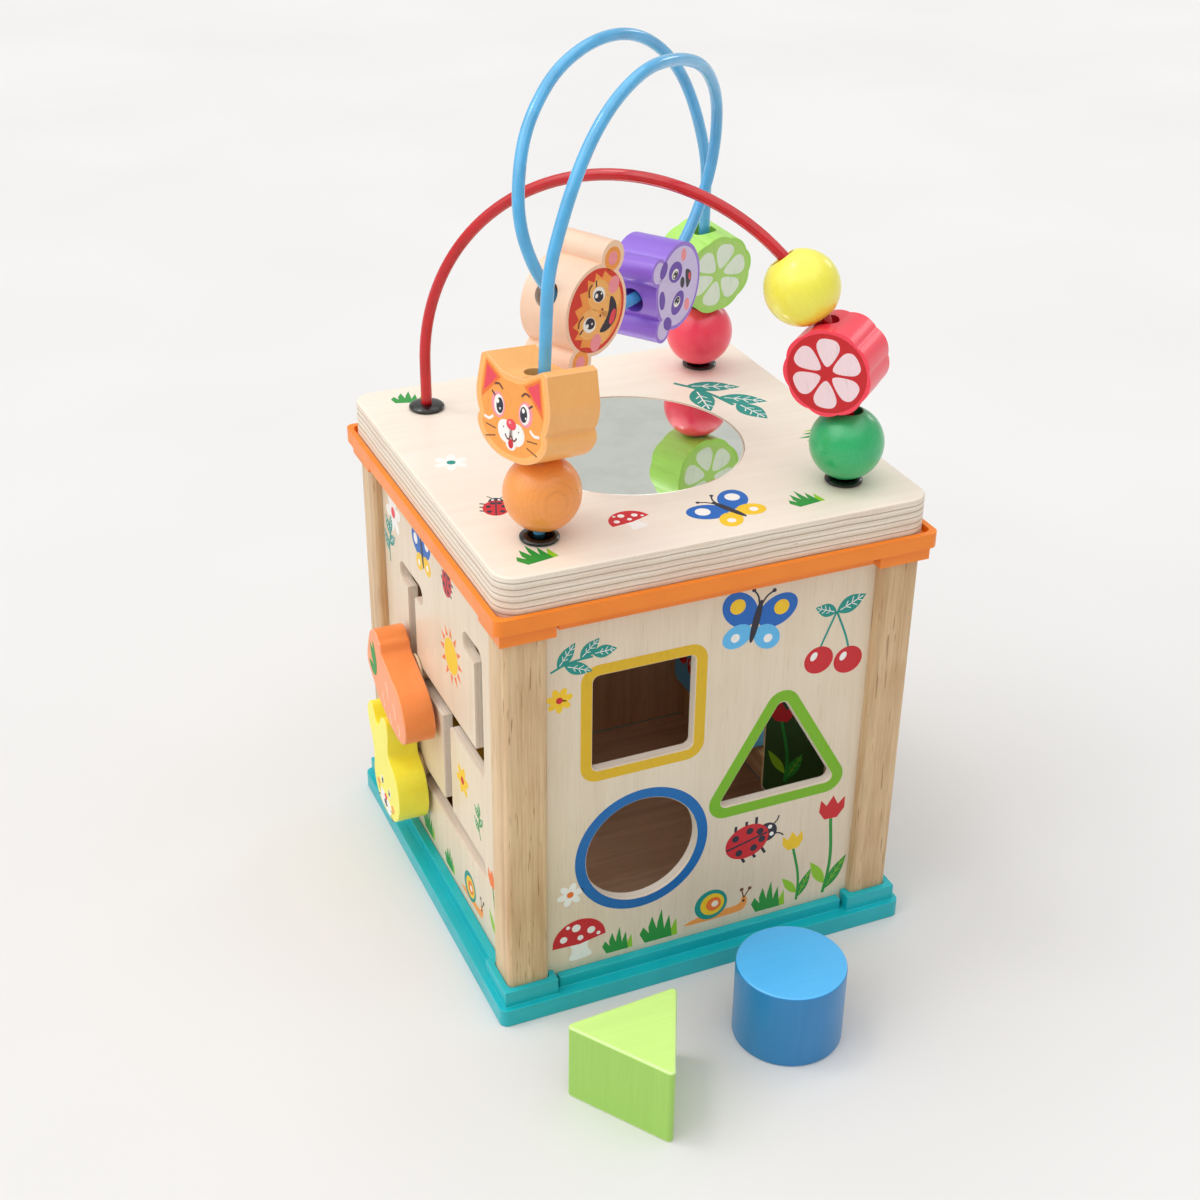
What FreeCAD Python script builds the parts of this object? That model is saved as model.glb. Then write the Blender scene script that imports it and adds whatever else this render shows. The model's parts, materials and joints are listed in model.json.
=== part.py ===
import FreeCAD
import Part
import math
import os

Vector = FreeCAD.Vector

# Wooden activity cube, in millimetres. The origin is the centre of the tray's flat underside, +Z is up.
# The front (-Y) is the shape sorter, the left (-X) the slot maze, the right (+X) the turning picture
# blocks and the back (+Y) the gears. Two bead wires stand on the board, on the diagonals of the cube.

# Clearances
FIT = 0.1
RUNNING_FIT = 0.05
REST_GAP = 0.3

# Posts and panels
POST_SPAN = 150.0
POST_SIDE = 15.0
POST_EDGE_R = 2.0
POST_LENGTH = 153.4
PANEL_T = 4.0
PANEL_RECESS = 3.3
PANEL_TONGUE = 2.0

# Base tray
TRAY_LIP = 4.5
TRAY_CORNER_R = 3.0
TRAY_LEDGE = 7.0
TRAY_FLOOR = 3.0
TRAY_BOSS_WALL = 2.4
TRAY_BOSS_HEIGHT = 6.3
TRAY_KERB_HEIGHT = 4.4
KERB_GAP = 1.5

# Top rim, the same moulding turned over, with a wall round the board and kerbs inside the panels too
RIM_LIP = 4.0
RIM_WALL = 2.0
RIM_WALL_HEIGHT = 5.5
RIM_PLATE = 3.1
RIM_BOSS_WALL = 2.0
RIM_BOSS_HEIGHT = 5.1
RIM_KERB_HEIGHT = 4.0
INNER_KERB = 2.0
RIM_LEDGE = 18.0
RIM_OPENING_R = 10.0

# Top board and mirror
BOARD_PLAY = 0.6
BOARD_T = 15.0
BOARD_CORNER_R = 8.0
BOARD_EDGE_R = 1.0
MIRROR_R = 40.9
MIRROR_T = 1.8
MIRROR_SUNK = 0.2
MIRROR_BEVEL = 0.6

# Wires, their caps and nuts
WIRE_R = 2.0
FOOT_INSET = 20.2
WIRE_TAIL = 6.0
CAP_R = 6.4
CAP_FOOT_R = 5.8
CAP_EDGE = 1.1
CAP_HEIGHT = 2.2
CAP_STEP = 0.6
CAP_DOME = 2.6
WIRE_BEND = 4.0
NUT_FLATS = 7.0
NUT_T = 3.2
WASHER_R = 6.0
WASHER_T = 1.0
NUT_POCKET_R = 8.5
RED_ARCH_RISE = 17.0

# Beads
BALL_R = 12.5
BORE_R = 4.4
BEAD_T = 19.0
BEAD_GAP = 0.3
SLICE_R = 15.0
SLICE_DIP = 0.7
SLICE_LOBES = 9
HEAD_R = 15.0
PANDA_EAR_R = 4.8
PANDA_EAR_OUT = 15.8
PANDA_EAR_ANGLE = 42.0
MONKEY_EAR_R = 5.6
MONKEY_EAR_OUT = 17.3
MONKEY_EAR_ANGLE = 90.0
CAT_HALF_WIDTH = 18.8
CAT_CHEEK = 18.6
CAT_CREASE = 16.9
CAT_CREASE_Z = -2.6
CAT_JOWL = 17.9
CAT_CHIN = 14.4
CAT_EAR_TOP = 17.0
CAT_EAR_OUT = 16.0
CAT_BROW = 12.0
RED_SLICE_YAW = -140.0
GREEN_SLICE_YAW = -80.0
CAT_YAW = -165.0
PANDA_YAW = -55.0
MONKEY_YAW = -63.0
PANDA_ON_ARC = 7.0
PANDA_TILT = 1.5
PANDA_DROP = 1.5
MONKEY_ON_ARC = 18.0
MONKEY_TILT = 4.0
MONKEY_DROP = 2.0
LEG_BALL_SHIFT = 1.6
CAT_SHIFT = 2.0
ARCH_BEAD_DROP = 1.5

# Shape sorter holes in the front panel, each as (x, z) of its middle
SQUARE_HOLE = 37.0
SQUARE_HOLE_R = 2.5
SQUARE_AT = (-24.8, 111.6)
ROUND_HOLE_R = 21.0
ROUND_AT = (-24.2, 55.9)
TRIANGLE_HOLE = 47.4
TRIANGLE_HOLE_R = 2.5
TRIANGLE_AT = (27.6, 78.2)

# Loose blocks
BLOCK_H = 30.0
BLOCK_EDGE_R = 1.0
SQUARE_PLAY = 3.2
CYLINDER_PLAY = 4.0
PRISM_PLAY = 5.4
PRISM_CORNER_R = 1.5
PRISM_X = -49.8
PRISM_AHEAD = 47.1
PRISM_TURN = 4.0
CYLINDER_X = 11.3
CYLINDER_AHEAD = 37.7
SQUARE_BLOCK_INSET = (20.0, 18.0)

# Slot maze in the left panel: centre lines as (y, z)
SLOT_W = 8.0
MAZE_TOP = 118.8
MAZE_UPPER = 126.4
MAZE_MIDDLE = 84.0
MAZE_LOW = 39.9
MAZE_REAR = 29.5
MAZE_FRONT = -41.3
MAZE_CENTRE = -5.7
MAZE = (
    ((38.0, MAZE_TOP), (20.0, MAZE_TOP)),
    ((MAZE_REAR, MAZE_TOP), (MAZE_REAR, MAZE_MIDDLE)),
    ((MAZE_REAR, MAZE_MIDDLE), (MAZE_FRONT, MAZE_MIDDLE)),
    ((MAZE_FRONT, MAZE_MIDDLE), (MAZE_FRONT, MAZE_UPPER)),
    ((MAZE_FRONT, MAZE_UPPER), (-30.6, MAZE_UPPER)),
    ((MAZE_CENTRE, MAZE_MIDDLE), (MAZE_CENTRE, MAZE_LOW)),
    ((38.0, MAZE_LOW), (-40.7, MAZE_LOW)),
)

# Sliders of the slot maze
FIGURE_T = 12.0
FIGURE_STANDOFF = 1.6
SPOOL_PLAY = 0.3
SPOOL_FRONT_R = 7.0
SPOOL_BACK_R = 8.0
SPOOL_FRONT_T = 1.2
SPOOL_BACK_T = 2.4
SLIDER_SCREW_R = 2.0
SLIDER_SCREW_DEPTH = 9.0
SLIDER_HEAD_R = 4.0
SLIDER_HEAD_T = 2.2
SLIDER_HEAD_EDGE_R = 0.8
CARROT_PIN = (24.7, MAZE_MIDDLE)
RABBIT_PIN = (26.6, MAZE_LOW)
CARROT_BODY = (
    (30.4, 97.4), (33.8, 98.9), (37.6, 98.0), (42.8, 90.5), (44.5, 80.8), (40.1, 76.7), (31.1, 70.9),
    (19.5, 67.0), (8.0, 66.0), (2.6, 68.4), (0.8, 74.0), (3.2, 81.0), (7.3, 85.0), (16.2, 88.4),
    (23.0, 90.8), (27.0, 93.2), (28.3, 96.2),
)
RABBIT_BODY = (
    (48.3, 59.0), (49.0, 54.0), (45.7, 47.5), (43.2, 40.0), (44.2, 30.7), (39.1, 22.6), (29.1, 20.2),
    (19.0, 22.6), (13.6, 30.0), (13.8, 38.4), (18.6, 45.0), (24.4, 48.6), (24.2, 56.9), (26.2, 63.8),
    (29.6, 63.6), (34.2, 58.6), (37.0, 55.8), (40.4, 59.2), (45.0, 62.0),
)

# Gears on the back panel
GEAR_TEETH = 12
GEAR_SIDE_GAP = 1.2
GEAR_ROW_ANGLE = 33.557
GEAR_ADDENDUM = 2.8
GEAR_DEDENDUM = 3.8
GEAR_BACKLASH = 1.2
GEAR_TIP_SHARE = 0.52
GEAR_ROOT_SHARE = 1.42
GEAR_T = 8.0
GEAR_STANDOFF = 2.0
GEAR_AXLE_R = 4.0
GEAR_AXLE_HEAD_R = 8.0
GEAR_AXLE_HEAD_T = 4.0
GEAR_AXLE_HEAD_EDGE_R = 1.8
GEAR_AXLE_COLLAR_R = 7.0
GEAR_AXLE_TAIL = 4.0
GEAR_AXLE_TAIL_R = 6.0
GEAR_MIDDLE_Z = 72.0

# Turning picture blocks in the right panel
PICTURE_H = 84.0
PICTURE_EDGE_R = 1.5
PICTURE_FRAME = 24.0
PICTURE_TURN_GAP = 2.1
PICTURE_ROD_INSET = 10.2
PICTURE_ROD_R = 2.5
PICTURE_BOTTOM = 40.0
PICTURE_TURNS = (-40.0, 0.0, 0.0)
RAIL_DEPTH = 14.0
RAIL_H = 10.0
RAIL_END_GAP = 4.0
RAIL_GAP = 2.0
ROD_SEAT = 7.0
WINDOW_MARGIN = 4.0
WINDOW_R = 4.0
SPACER_R = 4.0

# Screws
SCREW_R = 2.0
SCREW_HEAD_R = 3.8
SCREW_HEAD_H = 1.8
SCREW_RIM = 0.3
SCREW_SUNK = 0.3
SCREW_LENGTH = 24.0
SCREW_POINT = 4.0
SCREW_TIP_R = 0.4
BOARD_SCREW_R = 1.75
BOARD_SCREW_INSET = 2.0
BOARD_SCREW_BITE = 10.0
BOARD_SCREW_HEAD_R = 3.5
BOARD_SCREW_HEAD_T = 2.0

# Places worked out from the sizes
POST_OUT = POST_SPAN / 2
POST_IN = POST_OUT - POST_SIDE
POST_MID = POST_OUT - POST_SIDE / 2
PANEL_OUT = POST_OUT - PANEL_RECESS
PANEL_IN = PANEL_OUT - PANEL_T
POST_TOP = TRAY_FLOOR + POST_LENGTH
RIM_FLOOR = POST_TOP + RIM_PLATE
BOARD_TOP = RIM_FLOOR + BOARD_T
TRAY_SIDE = POST_SPAN + 2 * TRAY_LIP
RIM_SIDE = POST_SPAN + 2 * RIM_LIP
RIM_OPENING = 2 * (POST_IN - RIM_LEDGE)
BOARD_SIDE = RIM_SIDE - 2 * RIM_WALL - BOARD_PLAY
BOARD_SCREW_OUT = POST_IN - BOARD_SCREW_INSET
FOOT_XY = POST_OUT - FOOT_INSET
WIRE_FOOT = FOOT_XY * math.sqrt(2)
PRISM_AT = (PRISM_X, -TRAY_SIDE / 2 - PRISM_AHEAD)
CYLINDER_AT = (CYLINDER_X, -TRAY_SIDE / 2 - CYLINDER_AHEAD)
SQUARE_BLOCK_AT = (SQUARE_BLOCK_INSET[0] - POST_IN, POST_IN - SQUARE_BLOCK_INSET[1])
WIRE_END = RIM_FLOOR - WIRE_TAIL
ARCH_CENTRE_Z = BOARD_TOP + RED_ARCH_RISE
BALL_SEAT = math.sqrt(BALL_R ** 2 - BORE_R ** 2)
BALL_REST = BOARD_TOP + CAP_HEIGHT + REST_GAP + BALL_SEAT
FIGURE_BACK = -PANEL_OUT - FIGURE_STANDOFF
FIGURE_FRONT = FIGURE_BACK - FIGURE_T
GEAR_ROW_SHARE = math.cos(math.radians(GEAR_ROW_ANGLE))
GEAR_PITCH_R = (POST_IN - GEAR_SIDE_GAP - GEAR_ADDENDUM) / (1 + 2 * GEAR_ROW_SHARE)
GEAR_ROW_X = 2 * GEAR_PITCH_R * GEAR_ROW_SHARE
PICTURE_PITCH = POST_IN - PICTURE_FRAME
PICTURE_SIDE = (PICTURE_PITCH - PICTURE_TURN_GAP) / math.sqrt(2)
PICTURE_ROD_X = PANEL_IN - PICTURE_ROD_INSET
PICTURE_TOP = PICTURE_BOTTOM + PICTURE_H
RAIL_LENGTH = 2 * (POST_IN - RAIL_END_GAP)
CORNERS = (("front_left", -1, -1), ("front_right", 1, -1), ("back_left", -1, 1), ("back_right", 1, 1))

# The blue wire, hand-chosen points as (u, w, z): u runs along the diagonal from the front-left corner to
# the back-right one, w from the back-left corner to the front-right one.
FRONT_LEG_TOP = (-67.6, -1.3, 249.9)
REAR_LEG_TOP = (68.2, 2.9, 248.7)
LOOP_OVER = (
    (-60.1, 1.5, 275.2), (-45.3, 5.8, 296.4), (-23.5, 10.3, 307.3), (2.3, 13.8, 306.9),
    (26.1, 15.4, 298.1), (43.8, 13.7, 279.7),
)
LOOP_BOTTOM_REAR = ((47.0, 9.9, 254.7), (32.5, 5.5, 234.5), (8.6, 1.9, 227.1))
LOOP_BOTTOM_FRONT = ((-16.9, -2.6, 228.1), (-39.1, -9.3, 238.5), (-49.7, -16.3, 260.1))
LOOP_BACK = (
    (-42.8, -20.2, 284.5), (-23.8, -19.5, 301.7), (0.0, -14.7, 309.7), (24.8, -8.6, 307.6),
    (46.0, -2.9, 294.8), (60.7, 1.2, 273.5),
)


# Small helpers
def diagonal(u, w, z):
    return Vector((u + w) / math.sqrt(2), (u - w) / math.sqrt(2), z)


def block(x0, x1, y0, y1, z0, z1):
    low = Vector(min(x0, x1), min(y0, y1), min(z0, z1))
    return Part.makeBox(abs(x1 - x0), abs(y1 - y0), abs(z1 - z0), low)


def edges_along(shape, axis):
    found = []
    for edge in shape.Edges:
        if edge.Curve.TypeId == "Part::GeomLine":
            direction = edge.Curve.Direction
            if abs(abs(direction.dot(axis)) - 1) < 1e-6:
                found.append(edge)
    return found


def edges_at_height(shape, z):
    return [e for e in shape.Edges if abs(e.BoundBox.ZMin - z) < 1e-4 and abs(e.BoundBox.ZMax - z) < 1e-4]


def rounded_block(x0, x1, y0, y1, z0, z1, radius):
    body = block(x0, x1, y0, y1, z0, z1)
    return body.makeFillet(radius, edges_along(body, Vector(0, 0, 1)))


def square_plate(side, z0, z1, radius):
    half = side / 2
    return rounded_block(-half, half, -half, half, z0, z1, radius)


def rod(radius, start, end):
    along = end - start
    return Part.makeCylinder(radius, along.Length, start, along)


def turned(profile, axis_at=Vector(0, 0, 0), axis=Vector(0, 0, 1)):
    """A solid turned from (radius, height) points about +Z, then moved to its place."""
    points = [Vector(r, 0, z) for r, z in profile]
    face = Part.Face(Part.makePolygon(points + points[:1]))
    solid = face.revolve(Vector(0, 0, 0), Vector(0, 0, 1), 360)
    solid.Placement = FreeCAD.Placement(axis_at, FreeCAD.Rotation(Vector(0, 0, 1), axis))
    return solid


def fuse(shapes):
    if len(shapes) == 1:
        return shapes[0]
    return shapes[0].multiFuse(shapes[1:]).removeSplitter()


def regular_polygon(count, radius, first_angle):
    step = 360.0 / count
    points = []
    for i in range(count):
        a = math.radians(first_angle + i * step)
        points.append((radius * math.cos(a), radius * math.sin(a)))
    return points


def prism_up(points, z0, z1):
    corners = [Vector(x, y, z0) for x, y in points]
    face = Part.Face(Part.makePolygon(corners + corners[:1]))
    return face.extrude(Vector(0, 0, z1 - z0))


def turned_to(shape, quarters):
    shape = shape.copy()
    shape.rotate(Vector(0, 0, 0), Vector(0, 0, 1), 90 * quarters)
    return shape


def on_four_sides(shape):
    return [turned_to(shape, quarter) for quarter in range(4)]


# Tray and rim share their sockets: a boss round each post and a kerb outside each panel
def sockets(root_z, boss_z, kerb_z, boss_wall):
    walls = []
    for _, sx, sy in CORNERS:
        out = POST_OUT + boss_wall
        inside = POST_IN - boss_wall
        walls.append(block(sx * inside, sx * out, sy * inside, sy * out, root_z, boss_z))
    run = POST_IN - boss_wall - KERB_GAP
    return walls + on_four_sides(block(-run, run, -POST_OUT, -PANEL_OUT - FIT, root_z, kerb_z))


def socket_cuts(post_z, panel_z, far_z):
    cuts = []
    for _, sx, sy in CORNERS:
        x0, x1 = sorted((sx * (POST_IN - FIT), sx * (POST_OUT + FIT)))
        y0, y1 = sorted((sy * (POST_IN - FIT), sy * (POST_OUT + FIT)))
        cuts.append(rounded_block(x0, x1, y0, y1, post_z, far_z, POST_EDGE_R - FIT))
    groove = block(-POST_IN, POST_IN, -PANEL_OUT - FIT, -PANEL_IN + FIT, panel_z, far_z)
    return cuts + on_four_sides(groove)


def sunk_screw_profile(radius, head_r, length):
    return [(0, 0), (head_r, 0), (head_r, SCREW_RIM), (radius, SCREW_HEAD_H), (radius, length - SCREW_POINT),
            (SCREW_TIP_R, length), (0, length)]


def sunk_screw_hole(at, axis, plate):
    wide = SCREW_HEAD_R + SCREW_SUNK
    slim = SCREW_R + RUNNING_FIT
    cone_end = SCREW_HEAD_H + SCREW_SUNK
    profile = [(0, -1), (wide, -1), (wide, SCREW_SUNK + SCREW_RIM), (slim, cone_end + RUNNING_FIT),
               (slim, plate + 1), (0, plate + 1)]
    return turned(profile, at, axis)


def base_tray():
    tray = square_plate(TRAY_SIDE, 0, TRAY_LEDGE, TRAY_CORNER_R)
    boss_z = TRAY_LEDGE + TRAY_BOSS_HEIGHT
    tray = fuse([tray] + sockets(TRAY_LEDGE, boss_z, TRAY_LEDGE + TRAY_KERB_HEIGHT, TRAY_BOSS_WALL))
    cuts = socket_cuts(TRAY_FLOOR, TRAY_LEDGE, boss_z + 1)
    cuts.append(block(-PANEL_IN, PANEL_IN, -PANEL_IN, PANEL_IN, TRAY_FLOOR, boss_z + 1))
    for _, sx, sy in CORNERS:
        cuts.append(sunk_screw_hole(Vector(sx * POST_MID, sy * POST_MID, 0), Vector(0, 0, 1), TRAY_FLOOR))
    return tray.cut(cuts)


def floor_board():
    """It fills the tray up to the panels and goes round the feet of the posts."""
    half = PANEL_IN - FIT
    near, far = POST_IN - FIT, POST_OUT
    board = block(-half, half, -half, half, TRAY_FLOOR, TRAY_LEDGE)
    return board.cut([block(sx * near, sx * far, sy * near, sy * far, 0, POST_TOP) for _, sx, sy in CORNERS])


def post(sx, sy):
    x0, x1 = sorted((sx * POST_IN, sx * POST_OUT))
    y0, y1 = sorted((sy * POST_IN, sy * POST_OUT))
    body = rounded_block(x0, x1, y0, y1, TRAY_FLOOR, POST_TOP, POST_EDGE_R)
    depth = PANEL_TONGUE + FIT
    near, far = PANEL_IN - FIT, PANEL_OUT + FIT
    in_x = block(sx * POST_IN, sx * (POST_IN + depth), sy * near, sy * far, 0, POST_TOP)
    in_y = block(sx * near, sx * far, sy * POST_IN, sy * (POST_IN + depth), 0, POST_TOP)
    pilot = SCREW_R + RUNNING_FIT
    bite = SCREW_LENGTH + 1
    at = Vector(sx * POST_MID, sy * POST_MID, 0)
    low = rod(pilot, at, at + Vector(0, 0, bite))
    high = rod(pilot, at + Vector(0, 0, RIM_FLOOR - bite), at + Vector(0, 0, RIM_FLOOR))
    return body.cut([in_x, in_y, low, high])


def blank_panel():
    half = POST_IN + PANEL_TONGUE
    return block(-half, half, -PANEL_OUT, -PANEL_IN, TRAY_LEDGE, POST_TOP - FIT)


def triangle_prism(side, radius, z0, z1, turn):
    """An upright prism on a rounded equilateral triangle round the origin, one corner towards +Y."""
    body = prism_up(regular_polygon(3, side / math.sqrt(3), 90 + turn), z0, z1)
    return body.makeFillet(radius, edges_along(body, Vector(0, 0, 1)))


def stood_in_front(shape, at):
    """Turns an upright cutter to run along Y through the front panel, at (x, z)."""
    shape.rotate(Vector(0, 0, 0), Vector(1, 0, 0), 90)
    shape.translate(Vector(at[0], 0, at[1]))
    return shape


def panel_front():
    deep = PANEL_OUT + 5
    shallow = PANEL_IN - 5
    square = square_plate(SQUARE_HOLE, shallow, deep, SQUARE_HOLE_R)
    circle = Part.makeCylinder(ROUND_HOLE_R, deep - shallow, Vector(0, 0, shallow))
    triangle = triangle_prism(TRIANGLE_HOLE, TRIANGLE_HOLE_R, shallow, deep, 0)
    places = ((square, SQUARE_AT), (circle, ROUND_AT), (triangle, TRIANGLE_AT))
    return blank_panel().cut([stood_in_front(shape, at) for shape, at in places])


def slot(start, end, width, x0, x1):
    """A round-ended slot between two (y, z) points, cut along X."""
    a = Vector(x0, start[0], start[1])
    b = Vector(x0, end[0], end[1])
    run = b - a
    side = run.cross(Vector(1, 0, 0)).normalize() * (width / 2)
    corners = [a + side, b + side, b - side, a - side]
    bar = Part.Face(Part.makePolygon(corners + corners[:1])).extrude(Vector(x1 - x0, 0, 0))
    ends = [rod(width / 2, p, p + Vector(x1 - x0, 0, 0)) for p in (a, b)]
    return fuse([bar] + ends)


def panel_left():
    cuts = [slot(a, b, SLOT_W, -PANEL_OUT - 1, -PANEL_IN + 1) for a, b in MAZE]
    return turned_to(blank_panel(), -1).cut(cuts)


def gear_centres():
    drop = math.sqrt((2 * GEAR_PITCH_R) ** 2 - GEAR_ROW_X ** 2)
    return (
        ("left", -GEAR_ROW_X, GEAR_MIDDLE_Z + drop),
        ("middle", 0.0, GEAR_MIDDLE_Z),
        ("right", GEAR_ROW_X, GEAR_MIDDLE_Z + drop),
    )


def panel_back():
    bore = GEAR_AXLE_R + RUNNING_FIT
    holes = [rod(bore, Vector(x, PANEL_IN - 1, z), Vector(x, PANEL_OUT + 1, z)) for _, x, z in gear_centres()]
    return turned_to(blank_panel(), 2).cut(holes)


def picture_places():
    return [(-PICTURE_PITCH, "front", PICTURE_TURNS[0]), (0.0, "middle", PICTURE_TURNS[1]),
            (PICTURE_PITCH, "rear", PICTURE_TURNS[2])]


def panel_right():
    half = PICTURE_PITCH + PICTURE_SIDE / math.sqrt(2) + 1
    low = PICTURE_BOTTOM - WINDOW_MARGIN
    high = PICTURE_TOP + WINDOW_MARGIN
    window = block(PANEL_IN - 1, PANEL_OUT + 1, -half, half, low, high)
    window = window.makeFillet(WINDOW_R, edges_along(window, Vector(1, 0, 0)))
    return turned_to(blank_panel(), 1).cut(window)


def rail(z0, z1, rod_from, rod_to):
    body = block(PANEL_IN - RAIL_DEPTH, PANEL_IN, -RAIL_LENGTH / 2, RAIL_LENGTH / 2, z0, z1)
    seats = []
    for y, _, _ in picture_places():
        at = Vector(PICTURE_ROD_X, y, 0)
        seats.append(rod(PICTURE_ROD_R + RUNNING_FIT, at + Vector(0, 0, rod_from), at + Vector(0, 0, rod_to)))
    return body.cut(seats)


def rail_low():
    top = PICTURE_BOTTOM - RAIL_GAP
    return rail(top - RAIL_H, top, top - ROD_SEAT, top + 1)


def rail_high():
    bottom = PICTURE_TOP + RAIL_GAP
    return rail(bottom, bottom + RAIL_H, bottom - 1, bottom + ROD_SEAT)


def picture_rods():
    rods = []
    low = PICTURE_BOTTOM - RAIL_GAP - ROD_SEAT
    high = PICTURE_TOP + RAIL_GAP + ROD_SEAT
    for y, _, _ in picture_places():
        at = Vector(PICTURE_ROD_X, y, 0)
        pin = rod(PICTURE_ROD_R, at + Vector(0, 0, low), at + Vector(0, 0, high))
        seat = at + Vector(0, 0, PICTURE_BOTTOM - RAIL_GAP)
        spacer = rod(SPACER_R, seat, at + Vector(0, 0, PICTURE_BOTTOM - REST_GAP))
        rods.append(fuse([pin, spacer]))
    return Part.makeCompound(rods)


def picture_block(y, turn):
    half = PICTURE_SIDE / 2
    body = block(-half, half, -half, half, PICTURE_BOTTOM, PICTURE_TOP)
    body = body.makeFillet(PICTURE_EDGE_R, body.Edges)
    bore = Part.makeCylinder(PICTURE_ROD_R + RUNNING_FIT, PICTURE_H + 2, Vector(0, 0, PICTURE_BOTTOM - 1))
    body = body.cut(bore)
    body.rotate(Vector(0, 0, 0), Vector(0, 0, 1), turn)
    body.translate(Vector(PICTURE_ROD_X, y, 0))
    return body


def gear_outline(phase):
    """Straight-sided teeth: a tooth tip points at the phase angle, in degrees."""
    tooth = 2 * math.pi / GEAR_TEETH
    half_pitch = tooth / 4 - GEAR_BACKLASH / (2 * GEAR_PITCH_R)
    half_tip = half_pitch * GEAR_TIP_SHARE
    half_root = half_pitch * GEAR_ROOT_SHARE
    tip_r = GEAR_PITCH_R + GEAR_ADDENDUM
    root_r = GEAR_PITCH_R - GEAR_DEDENDUM
    points = []
    for i in range(GEAR_TEETH):
        mid = math.radians(phase) + i * tooth
        for radius, offset in ((root_r, -half_root), (GEAR_PITCH_R, -half_pitch), (tip_r, -half_tip),
                               (tip_r, half_tip), (GEAR_PITCH_R, half_pitch), (root_r, half_root)):
            a = mid + offset
            points.append((radius * math.cos(a), radius * math.sin(a)))
    return points


def gear(x, z, phase):
    back = PANEL_OUT + GEAR_STANDOFF
    body = prism_up(gear_outline(phase), 0, GEAR_T)
    body = body.cut(Part.makeCylinder(GEAR_AXLE_R + RUNNING_FIT, GEAR_T + 2, Vector(0, 0, -1)))
    body.rotate(Vector(0, 0, 0), Vector(1, 0, 0), 90)
    body.translate(Vector(x, back + GEAR_T, z))
    return body


def gear_phases():
    """Middle gear: a tooth towards the left gear. Each neighbour has a gap there."""
    centres = gear_centres()
    rise = centres[0][2] - centres[1][2]
    to_left = math.degrees(math.atan2(rise, -GEAR_ROW_X))
    to_right = math.degrees(math.atan2(rise, GEAR_ROW_X))
    step = 360.0 / GEAR_TEETH
    left = to_left + 180 + step / 2
    miss = (to_right - to_left) % step
    right = to_right + 180 + step / 2 + miss
    return {"left": left, "middle": to_left, "right": right}


def gear_axles():
    axles = []
    for _, x, z in gear_centres():
        face = PANEL_OUT + GEAR_STANDOFF - REST_GAP
        far = PANEL_OUT + GEAR_STANDOFF + GEAR_T + REST_GAP
        shaft = rod(GEAR_AXLE_R, Vector(x, PANEL_IN, z), Vector(x, far, z))
        collar = rod(GEAR_AXLE_COLLAR_R, Vector(x, PANEL_OUT, z), Vector(x, face, z))
        head = rod(GEAR_AXLE_HEAD_R, Vector(x, far, z), Vector(x, far + GEAR_AXLE_HEAD_T, z))
        head = head.makeFillet(GEAR_AXLE_HEAD_EDGE_R, [e for e in head.Edges if e.BoundBox.YMin > far + 1])
        tail = rod(GEAR_AXLE_TAIL_R, Vector(x, PANEL_IN - GEAR_AXLE_TAIL, z), Vector(x, PANEL_IN, z))
        axles.append(fuse([shaft, collar, head, tail]))
    return Part.makeCompound(axles)


def top_rim():
    wall_top = POST_TOP + RIM_WALL_HEIGHT
    rim = square_plate(RIM_SIDE, POST_TOP, wall_top, TRAY_CORNER_R)
    low_boss = POST_TOP - RIM_BOSS_HEIGHT
    low_kerb = POST_TOP - RIM_KERB_HEIGHT
    run = POST_IN - RIM_BOSS_WALL - KERB_GAP
    inner = block(-run, run, -PANEL_IN + FIT, -PANEL_IN + FIT + INNER_KERB, POST_TOP, low_kerb)
    rim = fuse([rim] + sockets(POST_TOP, low_boss, low_kerb, RIM_BOSS_WALL) + on_four_sides(inner))
    cuts = socket_cuts(low_boss - 1, low_boss - 1, POST_TOP)
    tray = square_plate(RIM_SIDE - 2 * RIM_WALL, RIM_FLOOR, wall_top + 1, TRAY_CORNER_R)
    opening = square_plate(RIM_OPENING, POST_TOP - 1, RIM_FLOOR + 1, RIM_OPENING_R)
    cuts += [tray, opening]
    for _, sx, sy in CORNERS:
        foot = Vector(sx * FOOT_XY, sy * FOOT_XY, 0)
        cuts.append(rod(NUT_POCKET_R, foot + Vector(0, 0, POST_TOP - 1), foot + Vector(0, 0, RIM_FLOOR + 1)))
        at = Vector(sx * POST_MID, sy * POST_MID, RIM_FLOOR)
        cuts.append(sunk_screw_hole(at, Vector(0, 0, -1), RIM_PLATE))
    for x, y in board_screw_places():
        cuts.append(rod(BOARD_SCREW_R + FIT, Vector(x, y, POST_TOP - 1), Vector(x, y, RIM_FLOOR + 1)))
    return rim.cut(cuts)


def board_screw_places():
    return regular_polygon(4, BOARD_SCREW_OUT, 0)


def top_board():
    board = square_plate(BOARD_SIDE, RIM_FLOOR, BOARD_TOP, BOARD_CORNER_R)
    rims = edges_at_height(board, BOARD_TOP) + edges_at_height(board, RIM_FLOOR)
    board = board.makeFillet(BOARD_EDGE_R, rims)
    depth = MIRROR_T + MIRROR_SUNK
    cuts = [Part.makeCylinder(MIRROR_R + FIT, depth + 1, Vector(0, 0, BOARD_TOP - depth))]
    for _, sx, sy in CORNERS:
        foot = Vector(sx * FOOT_XY, sy * FOOT_XY, RIM_FLOOR - 1)
        cuts.append(rod(WIRE_R + RUNNING_FIT, foot, foot + Vector(0, 0, BOARD_T + 2)))
    for x, y in board_screw_places():
        at = Vector(x, y, RIM_FLOOR - 1)
        cuts.append(rod(BOARD_SCREW_R + RUNNING_FIT, at, at + Vector(0, 0, BOARD_SCREW_BITE + 1.5)))
    return board.cut(cuts)


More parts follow.
